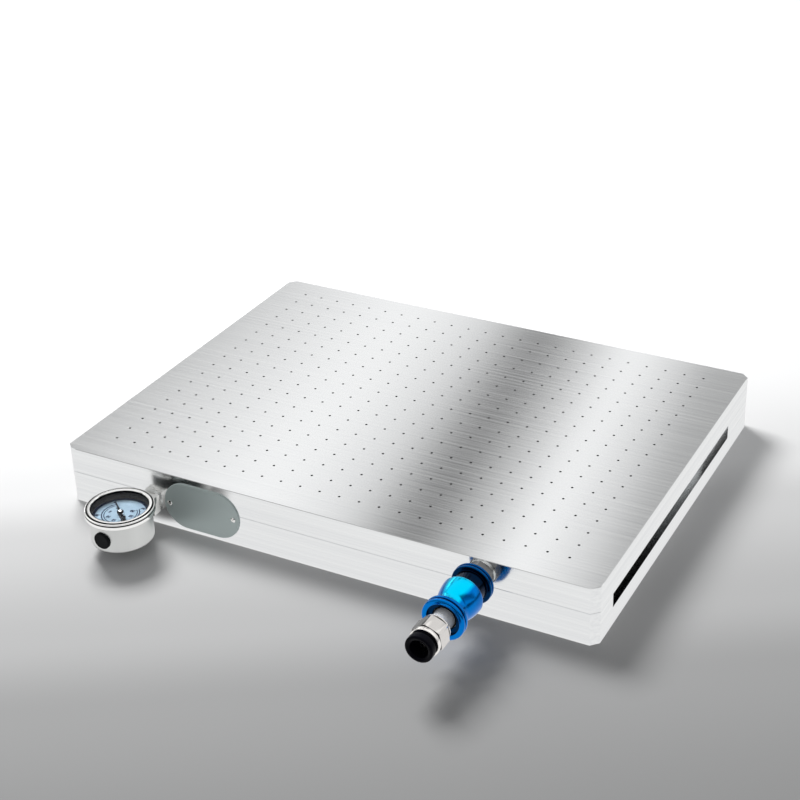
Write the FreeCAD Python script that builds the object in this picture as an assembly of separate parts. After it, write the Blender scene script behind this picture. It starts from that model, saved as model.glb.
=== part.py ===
import FreeCAD, Part
import math
import os

# Vacuum suction table: two bolted aluminium plates round a shallow vacuum chamber.
# A hand slide valve with a push-in tube fitting and a small vacuum gauge stand on the front face.
# Origin: centre of the underside. X runs along the long side, Y to the back, Z up. Millimetres.

# Plates
table_length = 400.0
table_width = 300.0
base_thickness = 24.0
top_thickness = 19.0
corner_chamfer = 5.0
edge_break = 0.7

# Field of suction holes
hole_pitch = 15.0
hole_width = 2.0
hole_sides = 4
field_margin_x = 25.0
field_margin_y = 20.0
field_shift_x = -1.9
field_shift_y = 2.4

# Vacuum chamber milled in the base plate, and the ribs left standing in it
chamber_depth = 8.0
chamber_border = 4.0
chamber_corner_radius = 4.0
rib_width = 5.0
rib_row_step = 3
rib_column_step = 6

# Seal cord round the chamber
seal_land = 2.0
seal_groove_width = 3.0
seal_groove_depth = 2.2
seal_side_gap = 0.1

# Clamping slots in the two short sides, milled down from the joint of the plates
slot_depth = 10.0
slot_height = 10.0
slot_front_inset = 25.5
slot_rear_inset = 48.0

# Cap screws from underneath
screw_radius = 2.5
screw_gap = 0.1
screw_head_radius = 4.25
screw_head_height = 5.0
screw_head_gap = 0.5
screw_head_recess = 5.6
screw_socket_width = 4.0
hexagon_sides = 6
screw_socket_depth = 2.5
screw_thread_depth = 10.0
screw_tip_gap = 1.5
screw_edge_inset = 7.0
screw_end_inset = 15.0
screws_per_row = 5

# Oval plate on the front face
oval_length = 60.0
oval_height = 35.0
oval_thickness = 1.0
oval_inset = 112.0
oval_drop = 3.0
oval_screw_spacing = 51.0
oval_screw_radius = 1.25
oval_screw_hole_gap = 0.05
oval_screw_head_radius = 1.9
oval_screw_head_height = 0.8
oval_screw_length = 4.0
oval_screw_tip_gap = 0.5

# Sealing washers under the valve and the gauge
washer_thickness = 1.2
washer_border = 2.5

# Valve port in the top plate
valve_inset = 78.2
valve_rise = 9.0
port_thread_radius = 6.5
thread_gap = 0.05
port_depth = 12.0
thread_tip_gap = 0.5
duct_radius = 2.2
duct_overlap = 2.4

# Valve spindle, lengths counted outwards from the front face
spindle_hex_width = 17.0
spindle_hex_end = 10.2
spindle_land_radius = 8.0
spindle_land_end = 50.3
spindle_tube_radius = 6.9
spindle_tube_end = 67.0
spindle_bore_radius = 4.0
spindle_wall_start = 27.0
spindle_wall_end = 31.0
cross_hole_radius = 1.4
cross_hole_rear = 22.0
cross_hole_front = 36.0
seal_places = (13.0, 26.0, 48.5)
seal_width = 1.8
seal_depth = 1.4
seal_clearance = 0.03

# Sliding sleeve, lengths counted outwards from the front face
sleeve_start = 10.5
sleeve_end = 54.0
sleeve_gap = 0.05
sleeve_rear_flange_radius = 13.8
sleeve_rear_flange_width = 4.6
sleeve_front_flange_radius = 14.4
sleeve_front_flange_width = 6.0
flange_groove_width = 1.3
flange_groove_depth = 0.9
sleeve_rear_neck_radius = 11.0
sleeve_barrel_radius = 14.0
sleeve_waist_radius = 10.5
sleeve_rear_neck_at = 18.0
sleeve_barrel_at = 28.5
sleeve_chamber_radius = 9.2
sleeve_chamber_start = 19.5
sleeve_chamber_end = 38.5
sleeve_recess_radius = 11.0
sleeve_recess_depth = 2.5
sleeve_travel = 8.0

# Push-in tube fitting, lengths counted outwards from the front face
fitting_start = 61.5
fitting_rear_rim_radius = 9.5
fitting_rear_rim_end = 63.2
fitting_hex_width = 19.0
fitting_hex_end = 75.0
fitting_hex_turn = 8.0
fitting_front_rim_radius = 10.0
fitting_end = 78.0
fitting_cavity_start = 69.4
fitting_cavity_radius = 8.0
fitting_seat_radius = 5.0
tube_radius = 6.0
tube_gap = 0.1
tube_seal_width = 2.4
grip_ring_gap = 0.3
grip_ring_width = 0.8
grip_ring_bore_gap = 0.3
bush_width = 3.0
bush_wall = 0.5
inner_fit = 0.05
collar_radius = 9.3
collar_start = 80.0
collar_end = 85.0
collar_sleeve_radius = 7.4
collar_travel = 1.2

# Gauge, with its case axis upright and its stem screwed into the front face
gauge_inset = 71.4
gauge_reach = 35.0
stem_drop = 5.5
stem_thread_radius = 4.95
stem_port_depth = 12.0
stem_duct_radius = 2.0
stem_square_width = 13.0
stem_square_length = 7.0
stem_neck_radius = 5.0
stem_bore_radius = 1.0
stem_bore_drop = 1.5
case_bottom = 9.5
case_radius = 21.0
case_wall = 0.8
case_corner_radius = 2.2
case_top = 31.3
bezel_side = 2.3
bezel_bottom = 29.4
bezel_wide_top = 33.3
bezel_top = 34.5
bezel_lip_reach = 2.2
bezel_lip_thickness = 1.1
bezel_fit = 0.1
window_thickness = 1.5
gasket_width = 1.3
dial_margin = 1.0
dial_top = 27.5
dial_thickness = 0.4
dial_hole_radius = 1.5
dial_screw_spacing = 8.0
dial_screw_radius = 0.5
dial_screw_head_radius = 1.0
dial_screw_head_height = 0.4
plug_radius = 6.0
plug_stem_radius = 4.0
plug_head_height = 1.4
plug_drop = 1.0
plug_inner_length = 2.0
plug_seat_depth = 0.5

# Gauge movement
gear_module = 0.3
pinion_teeth = 8
sector_full_teeth = 56
sector_teeth_before = 2
sector_teeth_after = 8
addendum = 0.24
dedendum = 0.38
tooth_share = 0.38
flank_angle = 20.0
sector_direction = 130.0
tail_direction = 158.7
tail_length = 5.0
tail_width = 2.0
tube_tip_direction = 165.0
tube_mean_radius = 13.5
tube_section_width = 2.0
tube_section_height = 5.0
tube_start_direction = 72.0
block_width = 9.0
block_inner_end = 12.0
block_bottom = 13.0
block_top = 19.5
frame_plate_thickness = 0.8
frame_half_width = 4.5
frame_gap = 3.9
pillar_radius = 0.9
arbor_radius = 0.6
pinion_height = 2.6
sector_thickness = 1.0
sector_lift = 1.1
sector_hub_radius = 1.8
sector_rim_width = 1.1
sector_bar_teeth = 2
sector_arbor_radius = 0.8
turning_gap = 0.03
link_thickness = 0.5
link_width = 1.6
link_pin_radius = 0.4
ear_gap = 0.2
ear_size = 2.4
pointer_thickness = 0.4
pointer_lift = 1.2
pointer_length = 14.0
pointer_tip_width = 0.5
pointer_root_width = 1.6
pointer_tail_length = 10.8
pointer_tail_width = 4.2
pointer_zero_direction = 140.0
pointer_hub_radius = 2.2
pointer_cap_height = 0.9

# Places that follow from the sizes above
full_turn = 360.0
half_length = table_length / 2
half_width = table_width / 2
table_height = base_thickness + top_thickness
front = -half_width
hole_columns = int((table_length - 2 * field_margin_x) // hole_pitch) + 1
hole_rows = int((table_width - 2 * field_margin_y) // hole_pitch) + 1
field_x = field_shift_x - hole_pitch * (hole_columns - 1) / 2
field_y = field_shift_y - hole_pitch * (hole_rows - 1) / 2
chamber_x0 = field_x - chamber_border
chamber_x1 = field_x + hole_pitch * (hole_columns - 1) + chamber_border
chamber_y0 = field_y - chamber_border
chamber_y1 = field_y + hole_pitch * (hole_rows - 1) + chamber_border
chamber_floor = base_thickness - chamber_depth
valve_x = half_length - valve_inset
valve_z = base_thickness + valve_rise
oval_x = oval_inset - half_length
oval_z = base_thickness - oval_drop
gauge_x = gauge_inset - half_length
gauge_y = front - gauge_reach
stem_z = base_thickness - stem_drop
bezel_radius = case_radius + bezel_side
bezel_lip_radius = case_radius - bezel_lip_reach
dial_radius = case_radius - case_wall - dial_margin
dial_bottom = dial_top - dial_thickness
pinion_pitch_radius = gear_module * pinion_teeth / 2
sector_pitch_radius = gear_module * sector_full_teeth / 2
frame_bottom = block_top
frame_lower_top = frame_bottom + frame_plate_thickness
frame_upper_bottom = frame_lower_top + frame_gap
frame_upper_top = frame_upper_bottom + frame_plate_thickness
sector_bottom = frame_lower_top + sector_lift
pointer_bottom = dial_top + pointer_lift

V = FreeCAD.Vector
UP = V(0, 0, 1)
BACK = V(0, 1, 0)


def box(x0, x1, y0, y1, z0, z1):
    return Part.makeBox(x1 - x0, y1 - y0, z1 - z0, V(x0, y0, z0))


def polar(cx, cy, radius, degrees):
    turn = math.radians(degrees)
    return (cx + radius * math.cos(turn), cy + radius * math.sin(turn))


def prism(points, z0, z1):
    corners = [V(x, y, z0) for x, y in points]
    face = Part.Face(Part.makePolygon(corners + corners[:1]))
    return face.extrude(V(0, 0, z1 - z0))


def upright_rod(x, y, z0, z1, radius):
    return Part.makeCylinder(radius, z1 - z0, V(x, y, z0), UP)


def out_rod(x, z, start, end, radius):
    """Rod along Y; start and end are counted outwards from the front face."""
    return Part.makeCylinder(radius, end - start, V(x, front - end, z), BACK)


def out_prism(x, z, width, sides, start, end, turn=0.0):
    """Regular bar along Y, width across its flats, standing outwards from the front face."""
    corner = width / 2 / math.cos(math.pi / sides)
    angles = [math.radians(turn + full_turn * (i + 0.5) / sides) for i in range(sides)]
    ring = [V(x + corner * math.cos(a), front - end, z + corner * math.sin(a)) for a in angles]
    face = Part.Face(Part.makePolygon(ring + ring[:1]))
    return face.extrude(V(0, end - start, 0))


def outline_wire(steps, place):
    """Closed outline. A step is (a, r), or an arc as (middle a, middle r, end a, end r)."""
    edges = []
    here = place(*steps[0])
    for step in steps[1:] + steps[:1]:
        there = place(*step[-2:])
        if len(step) > 2:
            edges.append(Part.Arc(here, place(*step[:2]), there).toShape())
        else:
            edges.append(Part.LineSegment(here, there).toShape())
        here = there
    return Part.Wire(edges)


def turned_out(x, z, steps):
    """Turned piece about a Y axis; steps are (distance out from the front face, radius)."""
    wire = outline_wire(steps, lambda out, radius: V(x + radius, front - out, z))
    return Part.Face(wire).revolve(V(x, 0, z), BACK, full_turn)


def turned_up(x, y, steps):
    """Turned piece about an upright axis; steps are (height, radius)."""
    wire = outline_wire(steps, lambda height, radius: V(x + radius, y, height))
    return Part.Face(wire).revolve(V(x, y, 0), UP, full_turn)


def out_ring(x, z, start, end, inner, outer):
    return turned_out(x, z, [(start, inner), (start, outer), (end, outer), (end, inner)])


def rounded_wire(x0, x1, y0, y1, radius, z):
    """Rectangle with round corners."""
    bend = radius * (1 - math.sqrt(0.5))
    steps = [
        (x0 + radius, y0), (x1 - radius, y0),
        (x1 - bend, y0 + bend, x1, y0 + radius), (x1, y1 - radius),
        (x1 - bend, y1 - bend, x1 - radius, y1), (x0 + radius, y1),
        (x0 + bend, y1 - bend, x0, y1 - radius), (x0, y0 + radius),
        (x0 + bend, y0 + bend, x0 + radius, y0),
    ]
    edges = []
    here = V(*steps[0], z)
    for step in steps[1:]:
        there = V(*step[-2:], z)
        if len(step) > 2:
            edges.append(Part.Arc(here, V(*step[:2], z), there).toShape())
        else:
            edges.append(Part.LineSegment(here, there).toShape())
        here = there
    return Part.Wire(edges)


def plate_outline():
    """Corners of the plates' outline, with the four upright edges cut off at 45 degrees."""
    x, y, c = half_length, half_width, corner_chamfer
    return [(x - c, -y), (x, c - y), (x, y - c), (x - c, y),
            (c - x, y), (-x, y - c), (-x, c - y), (c - x, -y)]


def break_outline(shape, z):
    """Bevel the outer edges of a plate at height z."""
    rim = []
    for edge in shape.Edges:
        middle = edge.BoundBox.Center
        outside = abs(middle.x) > half_length - corner_chamfer or abs(middle.y) > half_width - corner_chamfer
        if outside and edge.BoundBox.ZMin > z - edge_break and edge.BoundBox.ZMax < z + edge_break:
            rim.append(edge)
    return shape.makeChamfer(edge_break, rim)


def assembly_screw_places():
    """Two rows of cap screws, between the seal and the front and back edges."""
    span = table_length - 2 * screw_end_inset
    xs = [screw_end_inset - half_length + span * i / (screws_per_row - 1) for i in range(screws_per_row)]
    y = half_width - screw_edge_inset
    return [(x, side) for side in (-y, y) for x in xs]


def support_ribs():
    """Ribs left standing between the hole rows, broken by air gaps one pitch long."""
    ribs = []
    for row in range(rib_row_step, hole_rows, rib_row_step):
        y = field_y + hole_pitch * (row - 0.5)
        for column in range(0, hole_columns, rib_column_step):
            x0 = field_x + hole_pitch * column
            x1 = x0 + hole_pitch * (min(rib_column_step, hole_columns - column) - 1)
            ribs.append(box(x0, x1, y - rib_width / 2, y + rib_width / 2, chamber_floor, base_thickness))
    return ribs


def seal_band(z0, z1, side_gap):
    """Closed band round the chamber, narrowed on both sides by side_gap."""
    near = seal_land + side_gap
    far = seal_land + seal_groove_width - side_gap
    wires = []
    for grow in (far, near):
        wires.append(rounded_wire(chamber_x0 - grow, chamber_x1 + grow, chamber_y0 - grow,
                                  chamber_y1 + grow, chamber_corner_radius + grow, z0))
    outer = Part.Face(wires[0]).extrude(V(0, 0, z1 - z0))
    inner = Part.Face(wires[1]).extrude(V(0, 0, z1 - z0))
    return outer.cut(inner)


def side_slots():
    y0 = front + slot_front_inset
    y1 = half_width - slot_rear_inset
    z0 = base_thickness - slot_height
    left = box(-half_length, slot_depth - half_length, y0, y1, z0, base_thickness)
    right = box(half_length - slot_depth, half_length, y0, y1, z0, base_thickness)
    return [left, right]


def base_plate():
    plate = break_outline(prism(plate_outline(), 0, base_thickness), 0)
    pocket = Part.Face(rounded_wire(chamber_x0, chamber_x1, chamber_y0, chamber_y1,
                                    chamber_corner_radius, chamber_floor))
    pocket = pocket.extrude(V(0, 0, chamber_depth)).cut(support_ribs())
    cuts = [pocket, seal_band(base_thickness - seal_groove_depth, base_thickness, 0)]
    cuts += side_slots()
    for x, y in assembly_screw_places():
        recess_radius = screw_head_radius + screw_head_gap
        cuts.append(upright_rod(x, y, 0, screw_head_recess, recess_radius))
        cuts.append(upright_rod(x, y, 0, base_thickness, screw_radius + screw_gap))
    cuts.append(out_rod(gauge_x, stem_z, -stem_port_depth, 0, stem_thread_radius + thread_gap))
    cuts.append(out_rod(gauge_x, stem_z, front - chamber_y0 - chamber_corner_radius, 0, stem_duct_radius))
    cuts += oval_screw_holes()
    return plate.cut(cuts)


def suction_holes():
    """One small regular opening right through the top plate at each place of the grid."""
    corner = hole_width / 2 / math.cos(math.pi / hole_sides)
    turns = [math.radians(full_turn * (i + 0.5) / hole_sides) for i in range(hole_sides)]
    holes = []
    for column in range(hole_columns):
        for row in range(hole_rows):
            x = field_x + hole_pitch * column
            y = field_y + hole_pitch * row
            ring = [(x + corner * math.cos(a), y + corner * math.sin(a)) for a in turns]
            holes.append(prism(ring, base_thickness, table_height))
    return holes


def valve_port():
    """Threaded port in the front face, its duct back over the chamber and the drop into it."""
    duct_end = chamber_y0 + duct_overlap
    port = out_rod(valve_x, valve_z, -port_depth, 0, port_thread_radius + thread_gap)
    level = out_rod(valve_x, valve_z, front - duct_end, -port_depth, duct_radius)
    drop = upright_rod(valve_x, duct_end, base_thickness, valve_z, duct_radius)
    return port.fuse([level, drop])


def top_plate():
    plate = break_outline(prism(plate_outline(), base_thickness, table_height), table_height)
    cuts = [valve_port()] + suction_holes()
    for x, y in assembly_screw_places():
        cuts.append(upright_rod(x, y, base_thickness, base_thickness + screw_thread_depth, screw_radius + screw_gap))
    return plate.cut(cuts)


def assembly_screws():
    """Cap screws as separate solids, each seated on the floor of its recess."""
    screws = []
    head_bottom = screw_head_recess - screw_head_height
    tip = base_thickness + screw_thread_depth - screw_tip_gap
    for x, y in assembly_screw_places():
        head = upright_rod(x, y, head_bottom, screw_head_recess, screw_head_radius)
        socket_corner = screw_socket_width / 2 / math.cos(math.pi / hexagon_sides)
        hexagon = [polar(x, y, socket_corner, full_turn * i / hexagon_sides) for i in range(hexagon_sides)]
        head = head.cut(prism(hexagon, head_bottom, head_bottom + screw_socket_depth))
        screws.append(head.fuse(upright_rod(x, y, screw_head_recess, tip, screw_radius)).removeSplitter())
    return Part.makeCompound(screws)


def seal_cord():
    return seal_band(base_thickness - seal_groove_depth, base_thickness, seal_side_gap)


def oval_screw_places():
    return [oval_x - oval_screw_spacing / 2, oval_x + oval_screw_spacing / 2]


def oval_screw_holes():
    radius = oval_screw_radius + oval_screw_hole_gap
    return [out_rod(x, oval_z, -oval_screw_length - oval_screw_tip_gap, 0, radius) for x in oval_screw_places()]


def oval_plate():
    """Flat plate with round ends, drilled for its two screws."""
    radius = oval_height / 2
    reach = oval_length / 2 - radius
    y = front - oval_thickness
    a, b = V(oval_x - reach, y, oval_z - radius), V(oval_x + reach, y, oval_z - radius)
    c, d = V(oval_x + reach, y, oval_z + radius), V(oval_x - reach, y, oval_z + radius)
    right = Part.Arc(b, V(oval_x + reach + radius, y, oval_z), c).toShape()
    left = Part.Arc(d, V(oval_x - reach - radius, y, oval_z), a).toShape()
    wire = Part.Wire([Part.LineSegment(a, b).toShape(), right, Part.LineSegment(c, d).toShape(), left])
    plate = Part.Face(wire).extrude(V(0, oval_thickness, 0))
    hole = oval_screw_radius + oval_screw_hole_gap
    return plate.cut([out_rod(x, oval_z, 0, oval_thickness, hole) for x in oval_screw_places()])


def oval_screws():
    """Two small round-headed screws."""
    screws = []
    seat = oval_thickness
    crown = seat + oval_screw_head_height
    for x in oval_screw_places():
        screws.append(turned_out(x, oval_z, [
            (-oval_screw_length, 0), (-oval_screw_length, oval_screw_radius), (seat, oval_screw_radius),
            (seat, oval_screw_head_radius), (crown, oval_screw_head_radius / 2), (crown, 0)]))
    return Part.makeCompound(screws)


def valve_washer():
    inner = port_thread_radius + thread_gap
    return out_ring(valve_x, valve_z, 0, washer_thickness, inner, inner + washer_border)


def valve_spindle():
    """Fixed middle of the valve: thread, spanner hexagon, sealing land, then the tube to the fitting."""
    steps = [(thread_tip_gap - port_depth, 0), (thread_tip_gap - port_depth, port_thread_radius),
             (washer_thickness, port_thread_radius), (washer_thickness, spindle_land_radius)]
    floor = spindle_land_radius - seal_depth
    for place in seal_places:
        start, end = place - seal_width / 2, place + seal_width / 2
        steps += [(start, spindle_land_radius), (start, floor), (end, floor), (end, spindle_land_radius)]
    steps += [(spindle_land_end, spindle_land_radius), (spindle_land_end, spindle_tube_radius),
              (spindle_tube_end, spindle_tube_radius), (spindle_tube_end, 0)]
    body = turned_out(valve_x, valve_z, steps)
    body = body.fuse(out_prism(valve_x, valve_z, spindle_hex_width, hexagon_sides, washer_thickness, spindle_hex_end))
    cuts = [out_rod(valve_x, valve_z, -port_depth, spindle_wall_start, spindle_bore_radius),
            out_rod(valve_x, valve_z, spindle_wall_end, spindle_tube_end, spindle_bore_radius)]
    for place in (cross_hole_rear, cross_hole_front):
        start = V(valve_x - spindle_land_radius, front - place, valve_z)
        cuts.append(Part.makeCylinder(cross_hole_radius, 2 * spindle_land_radius, start, V(1, 0, 0)))
    return body.cut(cuts)


def valve_seals():
    """Sealing rings in the spindle's grooves."""
    floor = spindle_land_radius - seal_depth
    outer = spindle_land_radius + sleeve_gap - seal_clearance
    half = seal_width / 2
    return Part.makeCompound([out_ring(valve_x, valve_z, place - half, place + half, floor, outer)
                              for place in seal_places])


def sleeve_flange(start, end, radius):
    """Two ridges with one groove between them."""
    middle = (start + end) / 2
    half = flange_groove_width / 2
    floor = radius - flange_groove_depth
    return [(start, radius), (middle - half, radius), (middle - half, floor),
            (middle + half, floor), (middle + half, radius), (end, radius)]


def valve_sleeve():
    """Sliding sleeve: flange, short neck, round barrel, long waisted neck, flange with a recess."""
    bore = spindle_land_radius + sleeve_gap
    rear_end = sleeve_start + sleeve_rear_flange_width
    front_start = sleeve_end - sleeve_front_flange_width
    barrel_end = 2 * sleeve_barrel_at - sleeve_rear_neck_at
    recess_floor = sleeve_end - sleeve_recess_depth
    steps = [(sleeve_start, bore)]
    steps += sleeve_flange(sleeve_start, rear_end, sleeve_rear_flange_radius)
    steps += [(rear_end, sleeve_rear_neck_radius), (sleeve_rear_neck_at, sleeve_rear_neck_radius)]
    steps += [(sleeve_barrel_at, sleeve_barrel_radius, barrel_end, sleeve_rear_neck_radius)]
    steps += [((barrel_end + front_start) / 2, sleeve_waist_radius, front_start, sleeve_rear_neck_radius)]
    steps += sleeve_flange(front_start, sleeve_end, sleeve_front_flange_radius)
    steps += [(sleeve_end, sleeve_recess_radius), (recess_floor, sleeve_recess_radius), (recess_floor, bore),
              (sleeve_chamber_end, bore), (sleeve_chamber_end, sleeve_chamber_radius),
              (sleeve_chamber_start, sleeve_chamber_radius), (sleeve_chamber_start, bore)]
    return turned_out(valve_x, valve_z, steps)


def fitting_body():
    """Push-in fitting: rear rim, spanner hexagon and front rim round a stepped cavity."""
    x, z = valve_x, valve_z
    steps = [(fitting_start, 0), (fitting_start, fitting_rear_rim_radius),
             (fitting_rear_rim_end, fitting_rear_rim_radius), (fitting_rear_rim_end, fitting_cavity_radius),
             (fitting_hex_end, fitting_cavity_radius), (fitting_hex_end, fitting_front_rim_radius),
             (fitting_end, fitting_front_rim_radius), (fitting_end, 0)]
    body = turned_out(x, z, steps)
    hexagon = out_prism(x, z, fitting_hex_width, hexagon_sides, fitting_rear_rim_end, fitting_hex_end,
                        fitting_hex_turn)
    body = body.fuse(hexagon)
    return body.cut([out_rod(x, z, fitting_start, spindle_tube_end, spindle_tube_radius + thread_gap),
                     out_rod(x, z, fitting_start, fitting_end, fitting_seat_radius),
                     out_rod(x, z, fitting_cavity_start, fitting_end, fitting_cavity_radius)])


def fitting_seal():
    return out_ring(valve_x, valve_z, fitting_cavity_start, fitting_cavity_start + tube_seal_width,
                    tube_radius + tube_gap, fitting_cavity_radius - inner_fit)


def grip_ring():
    """Spring-steel ring that holds the tube, behind the release collar."""
    start = fitting_cavity_start + tube_seal_width + grip_ring_gap
    return out_ring(valve_x, valve_z, start, start + grip_ring_width,
                    tube_radius + grip_ring_bore_gap, fitting_cavity_radius - inner_fit)


def collar_bush():
    """Plain ring in the fitting's mouth, which the release collar slides in."""
    inner = fitting_cavity_radius - bush_wall
    return out_ring(valve_x, valve_z, fitting_end - bush_width, fitting_end,
                    inner, fitting_cavity_radius - inner_fit)


def release_collar():
    """Collar pushed in to let the tube go; its sleeve stops short of the grip ring by the travel."""
    bore = tube_radius + tube_gap
    grip_end = fitting_cavity_start + tube_seal_width + grip_ring_gap + grip_ring_width
    inner_end = grip_end + collar_travel + grip_ring_gap / 2
    rim = collar_radius - edge_break
    return turned_out(valve_x, valve_z, [
        (inner_end, bore), (inner_end, collar_sleeve_radius), (collar_start, collar_sleeve_radius),
        (collar_start, collar_radius), (collar_end - edge_break, collar_radius), (collar_end, rim),
        (collar_end, bore + edge_break), (collar_end - edge_break, bore)])


def gauge_washer():
    inner = stem_thread_radius + thread_gap
    return out_ring(gauge_x, stem_z, 0, washer_thickness, inner, inner + washer_border)


def gauge_stem():
    """Screwed stem with its spanner square, and the block inside the case that carries the tube."""
    x = gauge_x
    square_end = washer_thickness + stem_square_length
    wall_inside = gauge_reach - case_radius + case_wall
    half = block_width / 2
    stem = out_rod(x, stem_z, thread_tip_gap - stem_port_depth, washer_thickness, stem_thread_radius)
    square = out_prism(x, stem_z, stem_square_width, 4, washer_thickness, square_end)
    neck = out_rod(x, stem_z, square_end, wall_inside + case_wall, stem_neck_radius)
    block = box(x - half, x + half, gauge_y + block_inner_end, front - wall_inside - case_wall,
                block_bottom, block_top)
    stem = stem.fuse([square, neck, block])
    bore_end = gauge_reach - block_inner_end - case_wall
    return stem.cut(out_rod(x, stem_z - stem_bore_drop, -stem_port_depth, bore_end, stem_bore_radius))


def gauge_case():
    """Round cup with a rounded bottom edge, holed for the stem neck at the back and the plug in front."""
    inner = case_radius - case_wall
    corner = case_corner_radius
    bend = corner * (1 - math.sqrt(0.5))
    floor = case_bottom + case_wall
    inner_corner = corner - case_wall
    cup = turned_up(gauge_x, gauge_y, [
        (case_bottom, 0), (case_bottom, case_radius - corner),
        (case_bottom + bend, case_radius - bend, case_bottom + corner, case_radius),
        (case_top, case_radius), (case_top, inner), (floor + inner_corner, inner),
        (floor, inner - inner_corner), (floor, 0)])
    plug_z = stem_z + plug_drop
    neck_hole = out_rod(gauge_x, stem_z, 0, gauge_reach, stem_neck_radius + inner_fit)
    plug_hole = out_rod(gauge_x, plug_z, gauge_reach, gauge_reach + bezel_radius, plug_stem_radius + inner_fit)
    return cup.cut([neck_hole, plug_hole])


def gauge_bezel():
    """Crimped ring: a straight side, a rounded shoulder and a flat lip over the window."""
    inside = case_radius + bezel_fit
    shoulder = bezel_top - bezel_wide_top
    bend = shoulder * (1 - math.sqrt(0.5))
    lip_bottom = bezel_top - bezel_lip_thickness
    return turned_up(gauge_x, gauge_y, [
        (bezel_bottom, inside), (bezel_bottom, bezel_radius), (bezel_wide_top, bezel_radius),
        (bezel_top - bend, bezel_radius - bend, bezel_top, bezel_radius - shoulder),
        (bezel_top, bezel_lip_radius + shoulder / 2),
        (lip_bottom, bezel_lip_radius), (lip_bottom, inside)])


def gauge_window():
    top = bezel_top - bezel_lip_thickness
    return upright_rod(gauge_x, gauge_y, top - window_thickness, top, case_radius)


def window_gasket():
    top = bezel_top - bezel_lip_thickness - window_thickness
    return turned_up(gauge_x, gauge_y, [(case_top, case_radius - gasket_width), (case_top, case_radius),
                                        (top, case_radius), (top, case_radius - gasket_width)])


def dial_screw_places():
    """Two screws beside the pointer's axis, square to the line to the sector."""
    reach = dial_screw_spacing / 2
    return [polar(gauge_x, gauge_y, reach * side, sector_direction) for side in (-1, 1)]


def gauge_dial():
    dial = upright_rod(gauge_x, gauge_y, dial_bottom, dial_top, dial_radius)
    cuts = [upright_rod(gauge_x, gauge_y, dial_bottom, dial_top, dial_hole_radius)]
    for x, y in dial_screw_places():
        cuts.append(upright_rod(x, y, dial_bottom, dial_top, dial_screw_radius + turning_gap))
    return dial.cut(cuts)


def dial_screws():
    screws = []
    for x, y in dial_screw_places():
        bottom = frame_upper_top
        screws.append(turned_up(x, y, [
            (bottom, 0), (bottom, dial_screw_radius), (dial_top, dial_screw_radius),
            (dial_top, dial_screw_head_radius), (dial_top + dial_screw_head_height, dial_screw_head_radius),
            (dial_top + dial_screw_head_height, 0)]))
    return Part.makeCompound(screws)


def fill_plug():
    """Rubber plug with a round head outside the case and a stem through its wall."""
    z = stem_z + plug_drop
    wall = gauge_reach + case_radius
    tip = wall - case_wall - plug_inner_length
    seat = wall + bezel_fit
    edge = seat + plug_head_height
    flat = math.sqrt(case_radius ** 2 - plug_radius ** 2)
    seat_edge = gauge_reach + flat - plug_seat_depth
    plug = turned_out(gauge_x, z, [
        (tip, 0), (tip, plug_stem_radius), (seat_edge, plug_stem_radius), (seat_edge, plug_radius),
        (edge - plug_head_height / 2, plug_radius), (edge, plug_radius - plug_head_height / 2), (edge, 0)])
    shell = upright_rod(gauge_x, gauge_y, case_bottom, case_top, case_radius + inner_fit)
    shell = shell.cut(out_rod(gauge_x, z, gauge_reach, edge, plug_stem_radius))
    return plug.cut(shell)


def sector_pivot():
    return polar(gauge_x, gauge_y, pinion_pitch_radius + sector_pitch_radius, sector_direction)


def tooth_points(cx, cy, pitch_radius, middle):
    """One straight-flanked tooth, listed counter-clockwise from root to root."""
    half = math.pi * gear_module * tooth_share / 2
    lean = math.tan(math.radians(flank_angle))
    low, high = half + dedendum * lean, half - addendum * lean
    root, tip = pitch_radius - dedendum, pitch_radius + addendum
    corners = [(root, -low), (tip, -high), (tip, high), (root, low)]
    return [polar(cx, cy, radius, middle + math.degrees(offset / radius)) for radius, offset in corners]


def sector_gear():
    """Toothed sector with its hub, two arms and the tail that the link pulls."""
    px, py = sector_pivot()
    z0, z1 = sector_bottom, sector_bottom + sector_thickness
    facing = sector_direction + full_turn / 2
    step = full_turn / sector_full_teeth
    points = []
    for i in range(-sector_teeth_before, sector_teeth_after + 1):
        points += tooth_points(px, py, sector_pitch_radius, facing + step * i)
    first = facing - step * sector_teeth_before
    last = facing + step * sector_teeth_after
    root = sector_pitch_radius - dedendum
    points += [polar(px, py, root, last + step / 2)]
    points += [polar(px, py, sector_hub_radius, last), polar(px, py, sector_hub_radius, first)]
    points += [polar(px, py, root, first - step / 2)]
    wedge = prism(points, z0, z1)
    rim, bar = root - sector_rim_width, step * sector_bar_teeth
    window = [polar(px, py, rim, first + bar), polar(px, py, rim, last - bar),
              polar(px, py, 2 * sector_hub_radius, last - bar), polar(px, py, 2 * sector_hub_radius, first + bar)]
    hub = upright_rod(px, py, z0, z1, sector_hub_radius)
    gear = wedge.cut(prism(window, z0, z1)).fuse([hub, strap(px, py, *tail_end(), tail_width, z0, z1)])
    tx, ty = tail_end()
    return gear.cut([upright_rod(px, py, z0, z1, sector_arbor_radius + turning_gap),
                     upright_rod(tx, ty, z0, z1, link_pin_radius + turning_gap)]).removeSplitter()


def strap(ax, ay, bx, by, width, z0, z1):
    """Flat bar with round ends between two centres."""
    angle = math.degrees(math.atan2(by - ay, bx - ax))
    half = width / 2
    side = angle + full_turn / 4
    corners = [polar(ax, ay, half, side), polar(ax, ay, -half, side),
               polar(bx, by, -half, side), polar(bx, by, half, side)]
    ends = [upright_rod(ax, ay, z0, z1, half), upright_rod(bx, by, z0, z1, half)]
    return prism(corners, z0, z1).fuse(ends).removeSplitter()


def tail_end():
    px, py = sector_pivot()
    return polar(px, py, tail_length, tail_direction)


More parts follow.
